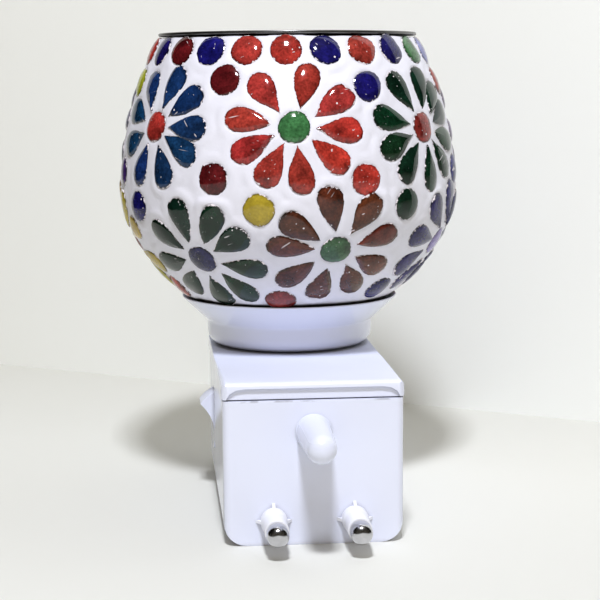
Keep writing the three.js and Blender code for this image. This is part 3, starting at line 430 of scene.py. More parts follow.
def grid_faces(rows, columns, closed_rows):
    """Quads between neighbours of a grid that closes round its columns, and round its rows if asked."""
    row = np.arange(rows if closed_rows else rows - 1)[:, None]
    column = np.arange(columns)[None, :]
    below = (row + 1) % rows
    beside = (column + 1) % columns
    corners = [
        row * columns + column, row * columns + beside, below * columns + beside, below * columns + column,
    ]
    return np.stack(np.broadcast_arrays(*corners), -1).reshape(-1, 4)


def rounded(corners):
    """Outline through corners (across, up, radius): each corner is an arc tangent to its two sides.

    With a and b the directions to the neighbours and 2h the angle between them, the arc's centre lies
    radius / sin(h) along a + b, and its points are the spherical blend of the two tangent points.
    """
    at = np.array([corner[:2] for corner in corners], float)
    radius = np.array([corner[2] for corner in corners], float)[:, None]
    back = np.roll(at, 1, 0) - at
    ahead = np.roll(at, -1, 0) - at
    back /= np.linalg.norm(back, axis=1, keepdims=True)
    ahead /= np.linalg.norm(ahead, axis=1, keepdims=True)
    half = np.arccos(np.clip((back * ahead).sum(1), -1, 1))[:, None] / 2
    middle = back + ahead
    middle /= np.linalg.norm(middle, axis=1, keepdims=True)
    centre = at + middle * radius / np.sin(half)
    first = at + back * radius / np.tan(half) - centre
    last = at + ahead * radius / np.tan(half) - centre
    swing = (np.pi - 2 * half)[:, :, None]
    share = np.linspace(0, 1, ARC_STEPS + 1)[None, :, None]
    arc = first[:, None] * np.sin((1 - share) * swing) + last[:, None] * np.sin(share * swing)
    return (centre[:, None] + arc / np.sin(swing)).reshape(-1, 2)


def turned(profile, sides=SIDES, on_axis=False):
    """A profile (radius, height) turned about Z: (r cos a, r sin a, h), closed on itself or on the axis."""
    turn = np.linspace(0, 2 * np.pi, sides, endpoint=False)
    radius, height = profile[:, :1], profile[:, 1:]
    points = np.stack(np.broadcast_arrays(radius * np.cos(turn), radius * np.sin(turn), height), -1)
    return points.reshape(-1, 3), grid_faces(len(profile), sides, not on_axis)


def axis_profile(corners):
    """A rounded outline that starts and ends on the axis: its first and last corners stay sharp."""
    return rounded(corners)[ARC_STEPS:-ARC_STEPS]


def from_plate(points, x, z):
    """Turns a piece made along Z to point out of the pin face at a place on it: (x, y, z) to (x, -z, y)."""
    return np.stack([points[:, 0] + x, PLATE_Y - points[:, 2], points[:, 1] + z], -1)


def finish_mesh(mesh):
    """Merges doubled points, turns the faces outwards and keeps strongly turned edges sharp."""
    edit = bmesh.new()
    edit.from_mesh(mesh)
    bmesh.ops.remove_doubles(edit, verts=edit.verts, dist=SAME_POINT * MM)
    bmesh.ops.recalc_face_normals(edit, faces=edit.faces)
    edit.to_mesh(mesh)
    edit.free()
    mesh.shade_smooth()
    mesh.set_sharp_from_angle(angle=SHARP_FROM)


def add_piece(name, mesh, body, nodes, material):
    """Shows a mesh as a piece that rides on a body and stands for CAD nodes."""
    mesh.materials.append(material)
    piece = bpy.data.objects.new(name, mesh)
    bpy.context.scene.collection.objects.link(piece)
    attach(piece, body)
    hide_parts(*nodes)
    return piece


def mesh_piece(name, points, faces, body, nodes, material):
    """A piece from points in millimetres and faces."""
    mesh = bpy.data.meshes.new(name)
    mesh.from_pydata((np.asarray(points) * MM).tolist(), [], [list(face) for face in faces])
    finish_mesh(mesh)
    add_piece(name, mesh, body, nodes, material)


def softened(name, source, width, body, material):
    """A copy of a CAD node whose flat faces are merged and whose edges are rounded by a width."""
    mesh = bpy.data.meshes.new(name)
    edit = bmesh.new()
    edit.from_mesh(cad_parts[source].data)
    bmesh.ops.remove_doubles(edit, verts=edit.verts, dist=SAME_POINT * MM)
    bmesh.ops.dissolve_limit(edit, angle_limit=FLAT_WITHIN, verts=edit.verts, edges=edit.edges)
    edit.to_mesh(mesh)
    edit.free()
    mesh.shade_smooth()
    piece = add_piece(name, mesh, body, [source], material)
    bevel = piece.modifiers.new("rounded_edges", "BEVEL")
    bevel.width = width * MM
    bevel.segments = ROUNDING_STEPS
    bevel.limit_method = "ANGLE"
    bevel.angle_limit = ROUNDED_FROM
    flat = piece.modifiers.new("flat_faces", "WEIGHTED_NORMAL")
    flat.keep_sharp = True


# Finishes

def polished_abs():
    """ABS from a polished mould: cool white, clear gloss, faint clouding and fine scratches.

    Its nooks and creases are darkened as painted shade, and a film of dust dulls the faces that look up.
    """
    material, tree, shader, place = new_material("abs_polished_mould", IOR=1.53)
    cloud = noise(tree, place, size=22, detail=4)
    tint = blend(tree, cloud, "#e0e5fa", "#e9edff")
    stretch = node(tree, "Mapping", {
        "Vector": place, "Rotation": (0.3, 0.5, 0.9), "Scale": (1.0, 1.0, 0.06),
    })
    scratch = noise(tree, stretch, size=0.5, detail=2)
    line = ramp(tree, scratch, start=0.7, end=0.76)
    speck = node(tree, "TexVoronoi", {"Vector": place, "Scale": per_mm(7)})
    spot = ramp(tree, speck, start=0.03, end=0.022, high=0.35)
    height = node(tree, "SeparateXYZ", {"Vector": place}).outputs["Z"]
    from_seam = reckon(tree, "SUBTRACT", height, SEAM_HEIGHT * MM)
    off_seam = reckon(tree, "ABSOLUTE", from_seam)
    near_seam = ramp(tree, off_seam, start=0.5 * MM, end=0.15 * MM)
    grime = noise(tree, place, size=4, detail=5)
    patch = ramp(tree, grime, start=0.5, end=0.62, high=0.45)
    seam = reckon(tree, "MULTIPLY", near_seam, patch)
    # Painted shade: ambient occlusion darkens the nooks, creases and the collar's foot.
    nook = node(tree, "AmbientOcclusion", {"Distance": 1.6 * MM}, samples=8).outputs["AO"]
    painted_nook_shade = ramp(tree, nook, start=0.8, end=0.4, high=0.4)
    marks = reckon(tree, "MAXIMUM", seam, spot)
    # The seam grime and the specks are dirt; the nook darkening mixed in with them is painted shade.
    dirt_and_painted_shade = reckon(tree, "MAXIMUM", marks, painted_nook_shade)
    colour = blend(tree, dirt_and_painted_shade, tint, "#6d6a70")
    rough = ramp(tree, cloud, low=0.1, high=0.17)
    scratch_roughness = 0.12
    worn = reckon(tree, "MULTIPLY_ADD", line, scratch_roughness, rough)
    looks = node(tree, "TexCoord").outputs["Normal"]
    upwards = node(tree, "SeparateXYZ", {"Vector": looks}).outputs["Z"]
    film = ramp(tree, upwards, start=0.2, end=1.0, high=0.42, curve="SMOOTHSTEP")
    dulled = reckon(tree, "ADD", worn, film)
    peel = noise(tree, place, size=1.6, detail=2)
    bump = relief(tree, peel, strength=0.05, depth=0.05)
    dress(shader, Base_Color=colour, Roughness=dulled, Normal=bump)
    return material


def speckled(name, low, high, grain, rough, bump_depth, **sockets):
    """A plain finish with some life: two close tones, uneven gloss and a grain of a size in millimetres."""
    material, tree, shader, place = new_material(name, **sockets)
    speckle = noise(tree, place, size=grain, detail=4)
    colour = blend(tree, speckle, low, high)
    gloss = ramp(tree, speckle, low=rough[0], high=rough[1])
    bump = relief(tree, speckle, strength=0.3, depth=bump_depth)
    dress(shader, Base_Color=colour, Roughness=gloss, Normal=bump)
    return material


def spun_aluminium():
    """Aluminium sheet spun on a lathe: fine rings round the axis, a grey gloss and darker, duller patches."""
    material, tree, shader, place = new_material("aluminium_spun_sheet", Metallic=1.0)
    ring = node(tree, "TexWave", {
        "Vector": place, "Scale": per_mm(18), "Distortion": 1.5, "Detail": 2.0, "Detail Scale": 1.2,
    }, wave_type="RINGS", rings_direction="Z").outputs["Fac"]
    patch = noise(tree, place, size=9, detail=5)
    colour = blend(tree, patch, "#4c4b4c", "#858483")
    gloss = ramp(tree, patch, low=0.45, high=0.22)
    bump = relief(tree, ring, strength=0.25, depth=0.05)
    dress(shader, Base_Color=colour, Roughness=gloss, Normal=bump)
    return material


def blown_glass(name, tone):
    """Clear blown glass: see-through with faint waves in its surface."""
    material, tree, shader, place = new_material(name, Transmission_Weight=1.0, IOR=1.5)
    wave = noise(tree, place, size=14, detail=2)
    colour = blend(tree, wave, tone, "#ffffff")
    gloss = ramp(tree, wave, high=0.04)
    bump = relief(tree, wave, strength=0.1, depth=0.3)
    dress(shader, Base_Color=colour, Roughness=gloss, Normal=bump)
    return material


def wiped_grout():
    """White grout wiped by hand: chalky and uneven, with grey smears and a painted shadow, a dark line at its
    foot.
    """
    material, tree, shader, place = new_material("grout_hand_wiped_white", IOR=1.5)
    cloud = noise(tree, place, size=11, detail=5)
    smear = ramp(tree, cloud, start=0.6, end=0.78, high=0.5)
    colour = blend(tree, smear, "#e4e4f0", "#c4c3cd")
    height = node(tree, "SeparateXYZ", {"Vector": place}).outputs["Z"]
    # Painted shadow: the grout darkens to near black just above the collar's rim, where it sinks into the
    # collar.
    dirt_and_painted_shade = ramp(tree, height, start=(COLLAR_RIM + 0.9) * MM, end=(COLLAR_RIM + 0.4) * MM)
    shaded_grout_colour = blend(tree, dirt_and_painted_shade, colour, "#1c1815")
    grit = noise(tree, place, size=0.7, detail=3)
    bump = relief(tree, grit, strength=0.25, depth=0.12)
    gloss = ramp(tree, cloud, low=0.4, high=0.62)
    dress(shader, Base_Color=shaded_grout_colour, Roughness=gloss, Normal=bump)
    return material


def cut_glass_chip():
    """Cut sheet glass over a painted back: deep colour that clouds, flecks, scratches and a hard gloss.

    Pale glass clouds less. Towards its cut edge a chip is darkened as painted shade, and where the edge has
    spalled the white bed shows.
    """
    material, tree, shader, place = new_material("glass_chip_back_painted", IOR=1.5)
    tint = node(tree, "Attribute", attribute_name="glass_colour").outputs["Color"]
    seed = node(tree, "Attribute", attribute_name="chip_seed").outputs["Fac"]
    edge = node(tree, "Attribute", attribute_name="cut_edge").outputs["Fac"]
    cloud = noise(tree, place, size=4.5, detail=7, seed=seed, roughness=0.6)
    shade = ramp(tree, cloud, start=0.3, end=0.7, low=0.25, high=1.5)
    grain = noise(tree, place, size=0.6, detail=3, seed=seed)
    glitter = ramp(tree, grain, start=0.3, end=0.7, low=0.6, high=1.4)
    mottled = reckon(tree, "MULTIPLY", shade, glitter)
    green = node(tree, "SeparateColor", {"Color": tint}).outputs["Green"]
    paleness = ramp(tree, green, start=0.12, end=0.33, high=0.75)
    clouded = node(tree, "Mix", {0: paleness, 2: mottled, 3: 1.0})
    # Painted shade: the colour darkens towards the chip's cut edge.
    painted_edge_shade = ramp(tree, edge, low=1, high=0.3)
    level = reckon(tree, "MULTIPLY", clouded, painted_edge_shade)
    deep = node(tree, "VectorMath", {0: tint, "Scale": level}, operation="SCALE")
    fleck = node(tree, "TexVoronoi", {"Vector": place, "Scale": per_mm(1.7)})
    cell = node(tree, "SeparateColor", {"Color": fleck.outputs["Color"]})
    fleck_size = ramp(tree, cell, start=0.72, high=0.16)
    spot = reckon(tree, "LESS_THAN", fleck, fleck_size)
    lie = node(tree, "VectorMath", {0: (1.3, 2.1, 0.7), "Scale": seed}, operation="SCALE")
    stretch = node(tree, "Mapping", {
        "Vector": place, "Rotation": lie, "Scale": (1.0, 1.0, 14.0),
    }, vector_type="TEXTURE")
    scratch = noise(tree, stretch, size=0.6, detail=1, seed=seed)
    line = ramp(tree, scratch, start=0.71, end=0.76, high=0.7)
    crumble = noise(tree, place, size=1.1, detail=4, seed=seed, roughness=0.7)
    edge_crumble = 0.22
    broken = reckon(tree, "MULTIPLY_ADD", edge, edge_crumble, crumble)
    spall = ramp(tree, broken, start=0.71, end=0.74)
    marks = reckon(tree, "MAXIMUM", spot, line)
    pale = reckon(tree, "MAXIMUM", marks, spall)
    colour = blend(tree, pale, deep, "#e6dfe4")
    ripple = noise(tree, place, size=2.4, detail=3)
    bump = relief(tree, ripple, strength=0.22, depth=0.12)
    gloss = ramp(tree, ripple, low=0.03, high=0.12)
    dress(shader, Base_Color=colour, Roughness=gloss, Normal=bump)
    return material


abs_white = polished_abs()
nylon = speckled("nylon_moulded_sleeve", "#eceef9", "#f6f7ff", 6, (0.34, 0.46), 0.03, IOR=1.53)
nickel = speckled("nickel_bright_plate", "#b9b9bd", "#d6d6d9", 1.2, (0.12, 0.24), 0.01, Metallic=1.0)
steel = speckled("steel_zinc_plated", "#8f9194", "#b9bbbf", 0.8, (0.28, 0.42), 0.02, Metallic=1.0)
brass = speckled("brass_stamped", "#8f6f35", "#b99a55", 1.5, (0.25, 0.4), 0.02, Metallic=1.0)
phenolic = speckled("phenolic_moulded_black", "#1a1715", "#2c2723", 1.0, (0.35, 0.55), 0.04, IOR=1.6)
tungsten = speckled("tungsten_drawn_wire", "#5d5e62", "#85868a", 0.3, (0.4, 0.55), 0.01, Metallic=1.0)
black_glass = speckled("glass_fused_black", "#101014", "#1e1e24", 1.5, (0.08, 0.18), 0.02, IOR=1.5)
red_pvc = speckled("pvc_wire_red", "#93261f", "#b23a32", 0.8, (0.4, 0.55), 0.03, IOR=1.53)
black_pvc = speckled("pvc_wire_black", "#161619", "#26262b", 0.8, (0.4, 0.55), 0.03, IOR=1.53)
aluminium = spun_aluminium()
bulb_glass = blown_glass("glass_blown_bulb", "#eef4f2")
globe_glass = blown_glass("glass_blown_globe", "#dfece6")
grout = wiped_grout()
chip_glass = cut_glass_chip()


# Housing, switch and screws

softened("housing_tray", "body_tray", TRAY_EDGE, "housing", abs_white)
softened("housing_lid", "body_lid", LID_EDGE, "housing", abs_white)
softened("rocker", "switch_rocker", ROCKER_EDGE, "rocker", abs_white)
for number in range(1, 5):
    softened(f"housing_screw_{number}", f"lid_screw_{number}", SCREW_EDGE, "housing", steel)


# Pins

def mains_pin(name, x):
    """Pin turned about its own axis: solder tail, shoulder, neck under the sleeve, bright rounded tip."""
    points, faces = turned(axis_profile([
        (0, PIN_TAIL, 0), (PIN_TAIL_RADIUS, PIN_TAIL, EDGE), (PIN_TAIL_RADIUS, SHOULDER_BACK, FINE_EDGE),
        (SHOULDER_RADIUS, SHOULDER_BACK, EDGE), (SHOULDER_RADIUS, SHOULDER_FRONT, EDGE),
        (PIN_NECK, SHOULDER_FRONT, FINE_EDGE), (PIN_NECK, PIN_STEP, FINE_EDGE),
        (PIN_RADIUS, PIN_STEP, PIN_STEP_ROUND), (PIN_RADIUS, PIN_TIP, PIN_ROUND), (0, PIN_TIP, 0),
    ]), PIN_SIDES, on_axis=True)
    mesh_piece(f"{name}_pin_bright", from_plate(points, x, PIN_HEIGHT), faces, "housing", [f"{name}_pin"],
               nickel)


def pin_sleeve(name, x):
    """Sleeve turned about the pin, slightly thicker at the plate, with small wedge fins round its root."""
    points, faces = turned(rounded([
        (SLEEVE_BORE, SLEEVE_BACK, FINE_EDGE), (SLEEVE_RADIUS, SLEEVE_BACK, FINE_EDGE),
        (SLEEVE_RADIUS, -SLEEVE_SWELL_DEPTH, 0), (SLEEVE_ROOT, 0, 0),
        (SLEEVE_ROOT, SLEEVE_ROOT_LENGTH, SLEEVE_ROUND),
        (SLEEVE_RADIUS, SLEEVE_ROOT_LENGTH + SLEEVE_TAPER, SLEEVE_ROUND),
        (SLEEVE_RADIUS, SLEEVE_FRONT, SLEEVE_END_ROUND), (SLEEVE_BORE, SLEEVE_FRONT, FINE_EDGE),
    ]), PIN_SIDES)
    wedge = np.array([
        (side * FIN_THICKNESS / 2, radius, height)
        for side in (-1, 1)
        for radius, height in (
            (FIN_FOOT, 0), (SLEEVE_RADIUS + FIN_REACH, 0),
            (SLEEVE_RADIUS + FIN_REACH * FIN_NOSE_SHARE, FIN_NOSE), (FIN_FOOT, FIN_LENGTH),
        )
    ])
    wedge_faces = np.array([
        (0, 1, 2, 3), (7, 6, 5, 4), (0, 4, 5, 1), (1, 5, 6, 2), (2, 6, 7, 3), (3, 7, 4, 0),
    ])
    for turn in np.arange(FIN_COUNT) * 2 * np.pi / FIN_COUNT:
        across = wedge[:, 0] * np.cos(turn) - wedge[:, 1] * np.sin(turn)
        up = wedge[:, 0] * np.sin(turn) + wedge[:, 1] * np.cos(turn)
        faces = np.concatenate([faces, wedge_faces + len(points)])
        points = np.concatenate([points, np.stack([across, up, wedge[:, 2]], -1)])
    mesh_piece(f"{name}_sleeve_moulded", from_plate(points, x, PIN_HEIGHT), faces, "housing",
               [f"{name}_pin_sleeve"], nylon)


def earth_pin():
    """Dummy earth pin: a tapered bar with a domed end, a stub through the plate and a flange inside."""
    points, faces = turned(axis_profile([
        (0, EARTH_FLANGE_BACK, 0), (EARTH_FLANGE_RADIUS, EARTH_FLANGE_BACK, EDGE),
        (EARTH_FLANGE_RADIUS, EARTH_FLANGE_FRONT, EDGE), (EARTH_STUB_RADIUS, EARTH_FLANGE_FRONT, FINE_EDGE),
        (EARTH_STUB_RADIUS, EARTH_SUNK, 0), (EARTH_ROOT_RADIUS + EARTH_SKIRT, EARTH_SUNK, 0),
        (EARTH_ROOT_RADIUS, EARTH_SKIRT_LENGTH, EARTH_SKIRT_ROUND),
        (EARTH_TIP_RADIUS, EARTH_TIP, EARTH_TIP_RADIUS - FINE_EDGE), (0, EARTH_TIP, 0),
    ]), on_axis=True)
    mesh_piece("earth_pin_moulded", from_plate(points, 0, EARTH_HEIGHT), faces, "housing",
               ["earth_dummy_pin"], abs_white)


for pin_name, pin_x in (("line", -PIN_X), ("neutral", PIN_X)):
    mains_pin(pin_name, pin_x)
    pin_sleeve(pin_name, pin_x)
earth_pin()


# Collar, lampholder, bulb and dish

def collar():
    """Collar: floor, round lower edge, upright wall and a flare that ends in a thin rim."""
    floor_top = COLLAR_FOOT + COLLAR_FLOOR
    points, faces = turned(rounded([
        (COLLAR_HOLE, COLLAR_FOOT, EDGE), (COLLAR_WALL, COLLAR_FOOT, COLLAR_FOOT_ROUND),
        (COLLAR_WALL, COLLAR_FOOT + COLLAR_WAIST_RISE, COLLAR_WAIST_ROUND),
        (COLLAR_RIM_RADIUS, COLLAR_RIM, EDGE), (COLLAR_RIM_RADIUS - COLLAR_LIP, COLLAR_RIM, COLLAR_LIP_ROUND),
        (COLLAR_INNER, COLLAR_FOOT + COLLAR_FLARE_FOOT_RISE, COLLAR_FLARE_ROUND),
        (COLLAR_INNER, floor_top, COLLAR_FLOOR_ROUND), (COLLAR_HOLE, floor_top, EDGE),
    ]), FINE_SIDES)
    mesh_piece("collar_moulded", points, faces, "housing", ["globe_collar"], abs_white)


def lampholder():
    """Lampholder: a deep cup with a flange that rests on the collar's floor."""
    flange_top = HOLDER_FLANGE_LOW + HOLDER_FLANGE_THICKNESS
    points, faces = turned(axis_profile([
        (0, HOLDER_LOW, 0), (HOLDER_RADIUS, HOLDER_LOW, HOLDER_FOOT_ROUND),
        (HOLDER_RADIUS, HOLDER_FLANGE_LOW, FINE_EDGE),
        (HOLDER_FLANGE_RADIUS, HOLDER_FLANGE_LOW, HOLDER_FLANGE_ROUND),
        (HOLDER_FLANGE_RADIUS, flange_top, HOLDER_FLANGE_TOP_ROUND),
        (HOLDER_RADIUS, flange_top, HOLDER_CORNER), (HOLDER_RADIUS, HOLDER_HIGH, HOLDER_RIM_ROUND),
        (HOLDER_BORE, HOLDER_HIGH, HOLDER_MOUTH_ROUND),
        (HOLDER_BORE, HOLDER_LOW + HOLDER_FLOOR, HOLDER_CORNER), (0, HOLDER_LOW + HOLDER_FLOOR, 0),
    ]), on_axis=True)
    mesh_piece("lampholder_moulded", points, faces, "housing", ["lampholder_body"],
               phenolic)


def bulb_cap():
    """Cap with a rolled thread: radius r - d (1 - cos(2 pi h / pitch - a)) / 2, fading out at both ends."""
    turn = np.linspace(0, 2 * np.pi, SIDES, endpoint=False)[None, :]
    height = np.linspace(CAP_LOW, CAP_HIGH, CAP_ROWS)[:, None]
    from_end = np.minimum(height - CAP_LOW, CAP_HIGH - height)
    fade = np.clip((from_end - THREAD_PLAIN) / THREAD_FADE, 0, 1)
    wave = (1 - np.cos(2 * np.pi * (height - CAP_LOW) / THREAD_PITCH - turn)) / 2
    outer = CAP_RADIUS - THREAD_DEPTH * wave * fade
    inside = np.array([
        (CAP_BORE, CAP_HIGH), (CAP_BORE, CAP_LOW + CAP_FLOOR),
        (CAP_LIP, CAP_LOW + CAP_FLOOR), (CAP_LIP, CAP_LOW),
    ])
    radius = np.concatenate([outer, np.repeat(inside[:, :1], SIDES, 1)])
    level = np.concatenate([np.repeat(height, SIDES, 1), np.repeat(inside[:, 1:], SIDES, 1)])
    points = np.stack([radius * np.cos(turn), radius * np.sin(turn), level], -1).reshape(-1, 3)
    mesh_piece("bulb_cap_threaded", points, grid_faces(len(radius), SIDES, True), "bulb_base", ["bulb_cap"],
               nickel)


def bulb_envelope():
    """Bulb glass: a straight neck, a shoulder that swells as 3 s^2 - 2 s^3, and a round top."""
    middle = BULB_HIGH - BULB_RADIUS

    def wall(inset):
        share = np.linspace(0, 1, BULB_ROWS)[:, None]
        swell = share**2 * (3 - 2 * share)
        top = np.linspace(0, np.pi / 2, BULB_ROWS)[1:, None]
        neck = np.array([(BULB_NECK - inset, BULB_LOW)])
        shoulder_radius = BULB_NECK + (BULB_RADIUS - BULB_NECK) * swell - inset
        shoulder = np.concatenate([shoulder_radius, BULB_NECK_TOP + (middle - BULB_NECK_TOP) * share], 1)
        reach = BULB_RADIUS - inset
        dome = np.concatenate([reach * np.cos(top), middle + reach * np.sin(top)], 1)
        return np.concatenate([neck, shoulder, dome])

    profile = np.concatenate([wall(0), wall(BULB_WALL)[::-1]])
    points, faces = turned(profile)
    mesh_piece("bulb_envelope", points, faces, "bulb", ["bulb_glass"], bulb_glass)


def dish():
    """Dish: a shallow spun bowl with round lower edge, hung by a flat flange with a dulled edge."""
    under = DISH_HIGH - DISH_SHEET
    inner = DISH_BOWL - DISH_SHEET
    points, faces = turned(axis_profile([
        (0, DISH_LOW, 0), (DISH_BOWL, DISH_LOW, DISH_FOOT_ROUND), (DISH_BOWL, under, DISH_BEND),
        (DISH_FLANGE, under, DISH_EDGE), (DISH_FLANGE, DISH_HIGH, DISH_EDGE),
        (inner, DISH_HIGH, DISH_MOUTH_ROUND), (inner, DISH_LOW + DISH_SHEET, DISH_FLOOR_ROUND),
        (0, DISH_LOW + DISH_SHEET, 0),
    ]), FINE_SIDES, on_axis=True)
    mesh_piece("dish_spun", points, faces, "dish", ["camphor_dish"], aluminium)


collar()
lampholder()
bulb_cap()
bulb_envelope()
dish()


# Globe and mosaic

def globe_place(distance):
    """Radius, height and outward direction at distances along the outline: three tangent arcs."""
    distance = np.asarray(distance, float)
    crown = distance / CROWN_ARC_RADIUS
    belly = distance / BELLY_ARC_RADIUS
    foot = (distance + BELLY_LENGTH) / FOOT_ARC_RADIUS - BELLY_ARC
    above, low = distance > 0, distance < -BELLY_LENGTH
    angle = np.where(above, crown, np.where(low, foot, belly))
    arc = np.where(above, CROWN_ARC_RADIUS, np.where(low, FOOT_ARC_RADIUS, BELLY_ARC_RADIUS))
    step = FOOT_ARC_RADIUS - BELLY_ARC_RADIUS
    centre_out = np.where(above, GLOBE_RADIUS - CROWN_ARC_RADIUS, GLOBE_RADIUS - BELLY_ARC_RADIUS)
    centre_out = centre_out - np.where(low, step * math.cos(BELLY_ARC), 0)
    centre_up = BELLY_HEIGHT + np.where(low, step * math.sin(BELLY_ARC), 0)
    return centre_out + arc * np.cos(angle), centre_up + arc * np.sin(angle), np.cos(angle), np.sin(angle)


def on_globe(azimuth, distance):
    """Points on the globe and their outward, sideways and upward directions; azimuth runs from -Y to +X."""
    radius, height, lean_out, lean_up = globe_place(distance)
    sine, cosine = np.sin(azimuth), np.cos(azimuth)
    flat = np.zeros(np.broadcast(azimuth, distance).shape)
    point = np.stack([radius * sine, -radius * cosine, height + flat], -1)
    facing = np.stack([lean_out * sine, -lean_out * cosine, lean_up + flat], -1)
    along = np.stack([cosine + flat, sine + flat, flat], -1)
    return point, facing, along, np.cross(facing, along)


chance = np.random.default_rng(CHANCE_SEED)


def flower_rows(azimuth, place, squash, petal_angles, petal, disc):
    """A round disc and its petals, each petal pointing away from the disc at an angle from upright.

    The squash draws the ring of petals together upright.
    """
    rows = [(azimuth, place, 0, disc, DISC_RADIUS)]
    reach = (PETAL_POINT + PETAL_END) / 2
    for angle in np.radians(petal_angles):
        petal_place = place + reach * squash * math.cos(angle)
        swing = reach * math.sin(angle) / globe_place(petal_place)[0]
        rows.append((azimuth + swing, petal_place, angle, petal, 0))
    return rows


def lay_out_chips():
    """Azimuth, distance, spin, colour and radius of each chip, petals with no radius.

    Two rows of flowers go round the globe, with dots between them and one row of dots under the rim.
    """
    rows = []
    step = 360 / FLOWER_COUNT

    def petal_angles(turn):
        even = turn + np.arange(PETAL_COUNT) * 360 / PETAL_COUNT
        return even + chance.normal(0, PETAL_WANDER, PETAL_COUNT)

    upper_petals = [UPPER_HAND_SET.get(i, petal_angles(turn)) for i, turn in enumerate(UPPER_PETAL_TURNS)]
    lower_petals = [LOWER_HAND_SET.get(i, petal_angles(turn)) for i, turn in enumerate(LOWER_PETAL_TURNS)]
    for first, place, squash, shifts, petals, colours in (
        (UPPER_TURN, UPPER_PLACE, UPPER_SQUASH, UPPER_FLOWER_SHIFTS, upper_petals, UPPER_FLOWERS),
        (LOWER_TURN, LOWER_PLACE, 1, LOWER_FLOWER_SHIFTS, lower_petals, LOWER_FLOWERS),
    ):
        for i in range(FLOWER_COUNT):
            turn, rise = shifts[i]
            azimuth = math.radians(first + i * step + turn)
            rows += flower_rows(azimuth, place + rise, squash, petals[i], *colours[i])
    for first, place, shifts, colours in (
        (UPPER_TURN, UPPER_DOT_PLACE, UPPER_DOT_SHIFTS, UPPER_DOTS),
        (UPPER_TURN, MIDDLE_DOT_PLACE, MIDDLE_DOT_SHIFTS, MIDDLE_DOTS),
        (LOWER_TURN, BELT_DOT_PLACE, BELT_DOT_SHIFTS, BELT_DOTS),
        (LOWER_TURN, FOOT_DOT_PLACE, FOOT_DOT_SHIFTS, FOOT_DOTS),
    ):
        for i in range(FLOWER_COUNT):
            turn, rise = shifts[i]
            azimuth = math.radians(first + (i + 0.5) * step + turn)
            rows.append((azimuth, place + rise, 0, colours[i], DOT_RADIUS))
    for i in range(RIM_DOT_COUNT):
        azimuth = math.radians(RIM_DOT_TURN + i * 360 / RIM_DOT_COUNT)
        rows.append((azimuth, RIM_DOT_PLACE, 0, RIM_DOTS[i], DOT_RADIUS))
    return rows


chips = lay_out_chips()
chip_azimuth = np.array([row[0] for row in chips])
chip_place = np.array([row[1] for row in chips])
chip_spin = np.array([row[2] for row in chips])
chip_colour = np.array([linear(GLASS[row[3]]) for row in chips])
chip_radius = np.array([row[4] for row in chips])

# Each chip lies flat on the globe, tipped a little as a hand sets it
chip_point, chip_facing, chip_along, chip_up = on_globe(chip_azimuth, chip_place)
tip = chance.normal(0, CHIP_TILT, (len(chips), 2))
chip_facing = chip_facing + chip_along * tip[:, :1] + chip_up * tip[:, 1:]
chip_facing /= np.linalg.norm(chip_facing, axis=1, keepdims=True)
chip_along = np.cross(chip_up, chip_facing)
chip_along /= np.linalg.norm(chip_along, axis=1, keepdims=True)
chip_up = np.cross(chip_facing, chip_along)


def chip_outlines():
    """Outlines across and up: dots (r sin t, -r cos t), petals (w sin t sin^n(t / 2), -l cos t).

    Low waves and nibbles along the cut make each one a little different, and the petals are spun outwards.
    """
    t = np.linspace(0, 2 * np.pi, CHIP_POINTS, endpoint=False)
    width = np.sin(t) * np.abs(np.sin(t / 2)) ** PETAL_SWELL
    half_length = (PETAL_END - PETAL_POINT) / 2
    petal = np.stack([PETAL_HALF_WIDTH * width / width.max(), -half_length * np.cos(t)], -1)
    dot = np.stack([np.sin(t), -np.cos(t)], -1)
    is_dot = chip_radius[:, None, None] > 0
    shape = np.where(is_dot, dot * chip_radius[:, None, None], petal)
    wander = sum(
        chance.normal(0, CHIP_WANDER, (len(chips), 1))
        * np.cos(k * t + chance.uniform(0, CHIP_WAVE_SHIFT, (len(chips), 1)))
        for k in CHIP_WAVES
    )
    ragged = chance.choice(CHIP_NIBBLES, (len(chips), 1), p=CHIP_NIBBLE_SHARES)
    nibble = chance.normal(0, 1, (len(chips), CHIP_POINTS)) * ragged
    shape = shape * (1 + wander + nibble)[:, :, None]
    cosine, sine = np.cos(chip_spin)[:, None], np.sin(chip_spin)[:, None]
    across = shape[:, :, 0] * cosine + shape[:, :, 1] * sine
    return np.stack([across, shape[:, :, 1] * cosine - shape[:, :, 0] * sine], -1)


def chip_distance(i, points):
    """How far points lie outside chip i, less than 0 inside: a circle, or a drop that thins to a point."""
    offset = points - chip_point[i]
    across, up = offset @ chip_along[i], offset @ chip_up[i]
    if chip_radius[i] > 0:
        return np.hypot(across, up) - chip_radius[i]
    out = across * math.sin(chip_spin[i]) + up * math.cos(chip_spin[i])
    side = np.abs(across * math.cos(chip_spin[i]) - up * math.sin(chip_spin[i]))
    length = PETAL_END - PETAL_POINT - PETAL_HALF_WIDTH
    start = out + (PETAL_END - PETAL_POINT) / 2
    share = np.clip(start / length, 0, 1)
    return np.hypot(side, start - share * length) - PETAL_HALF_WIDTH * share


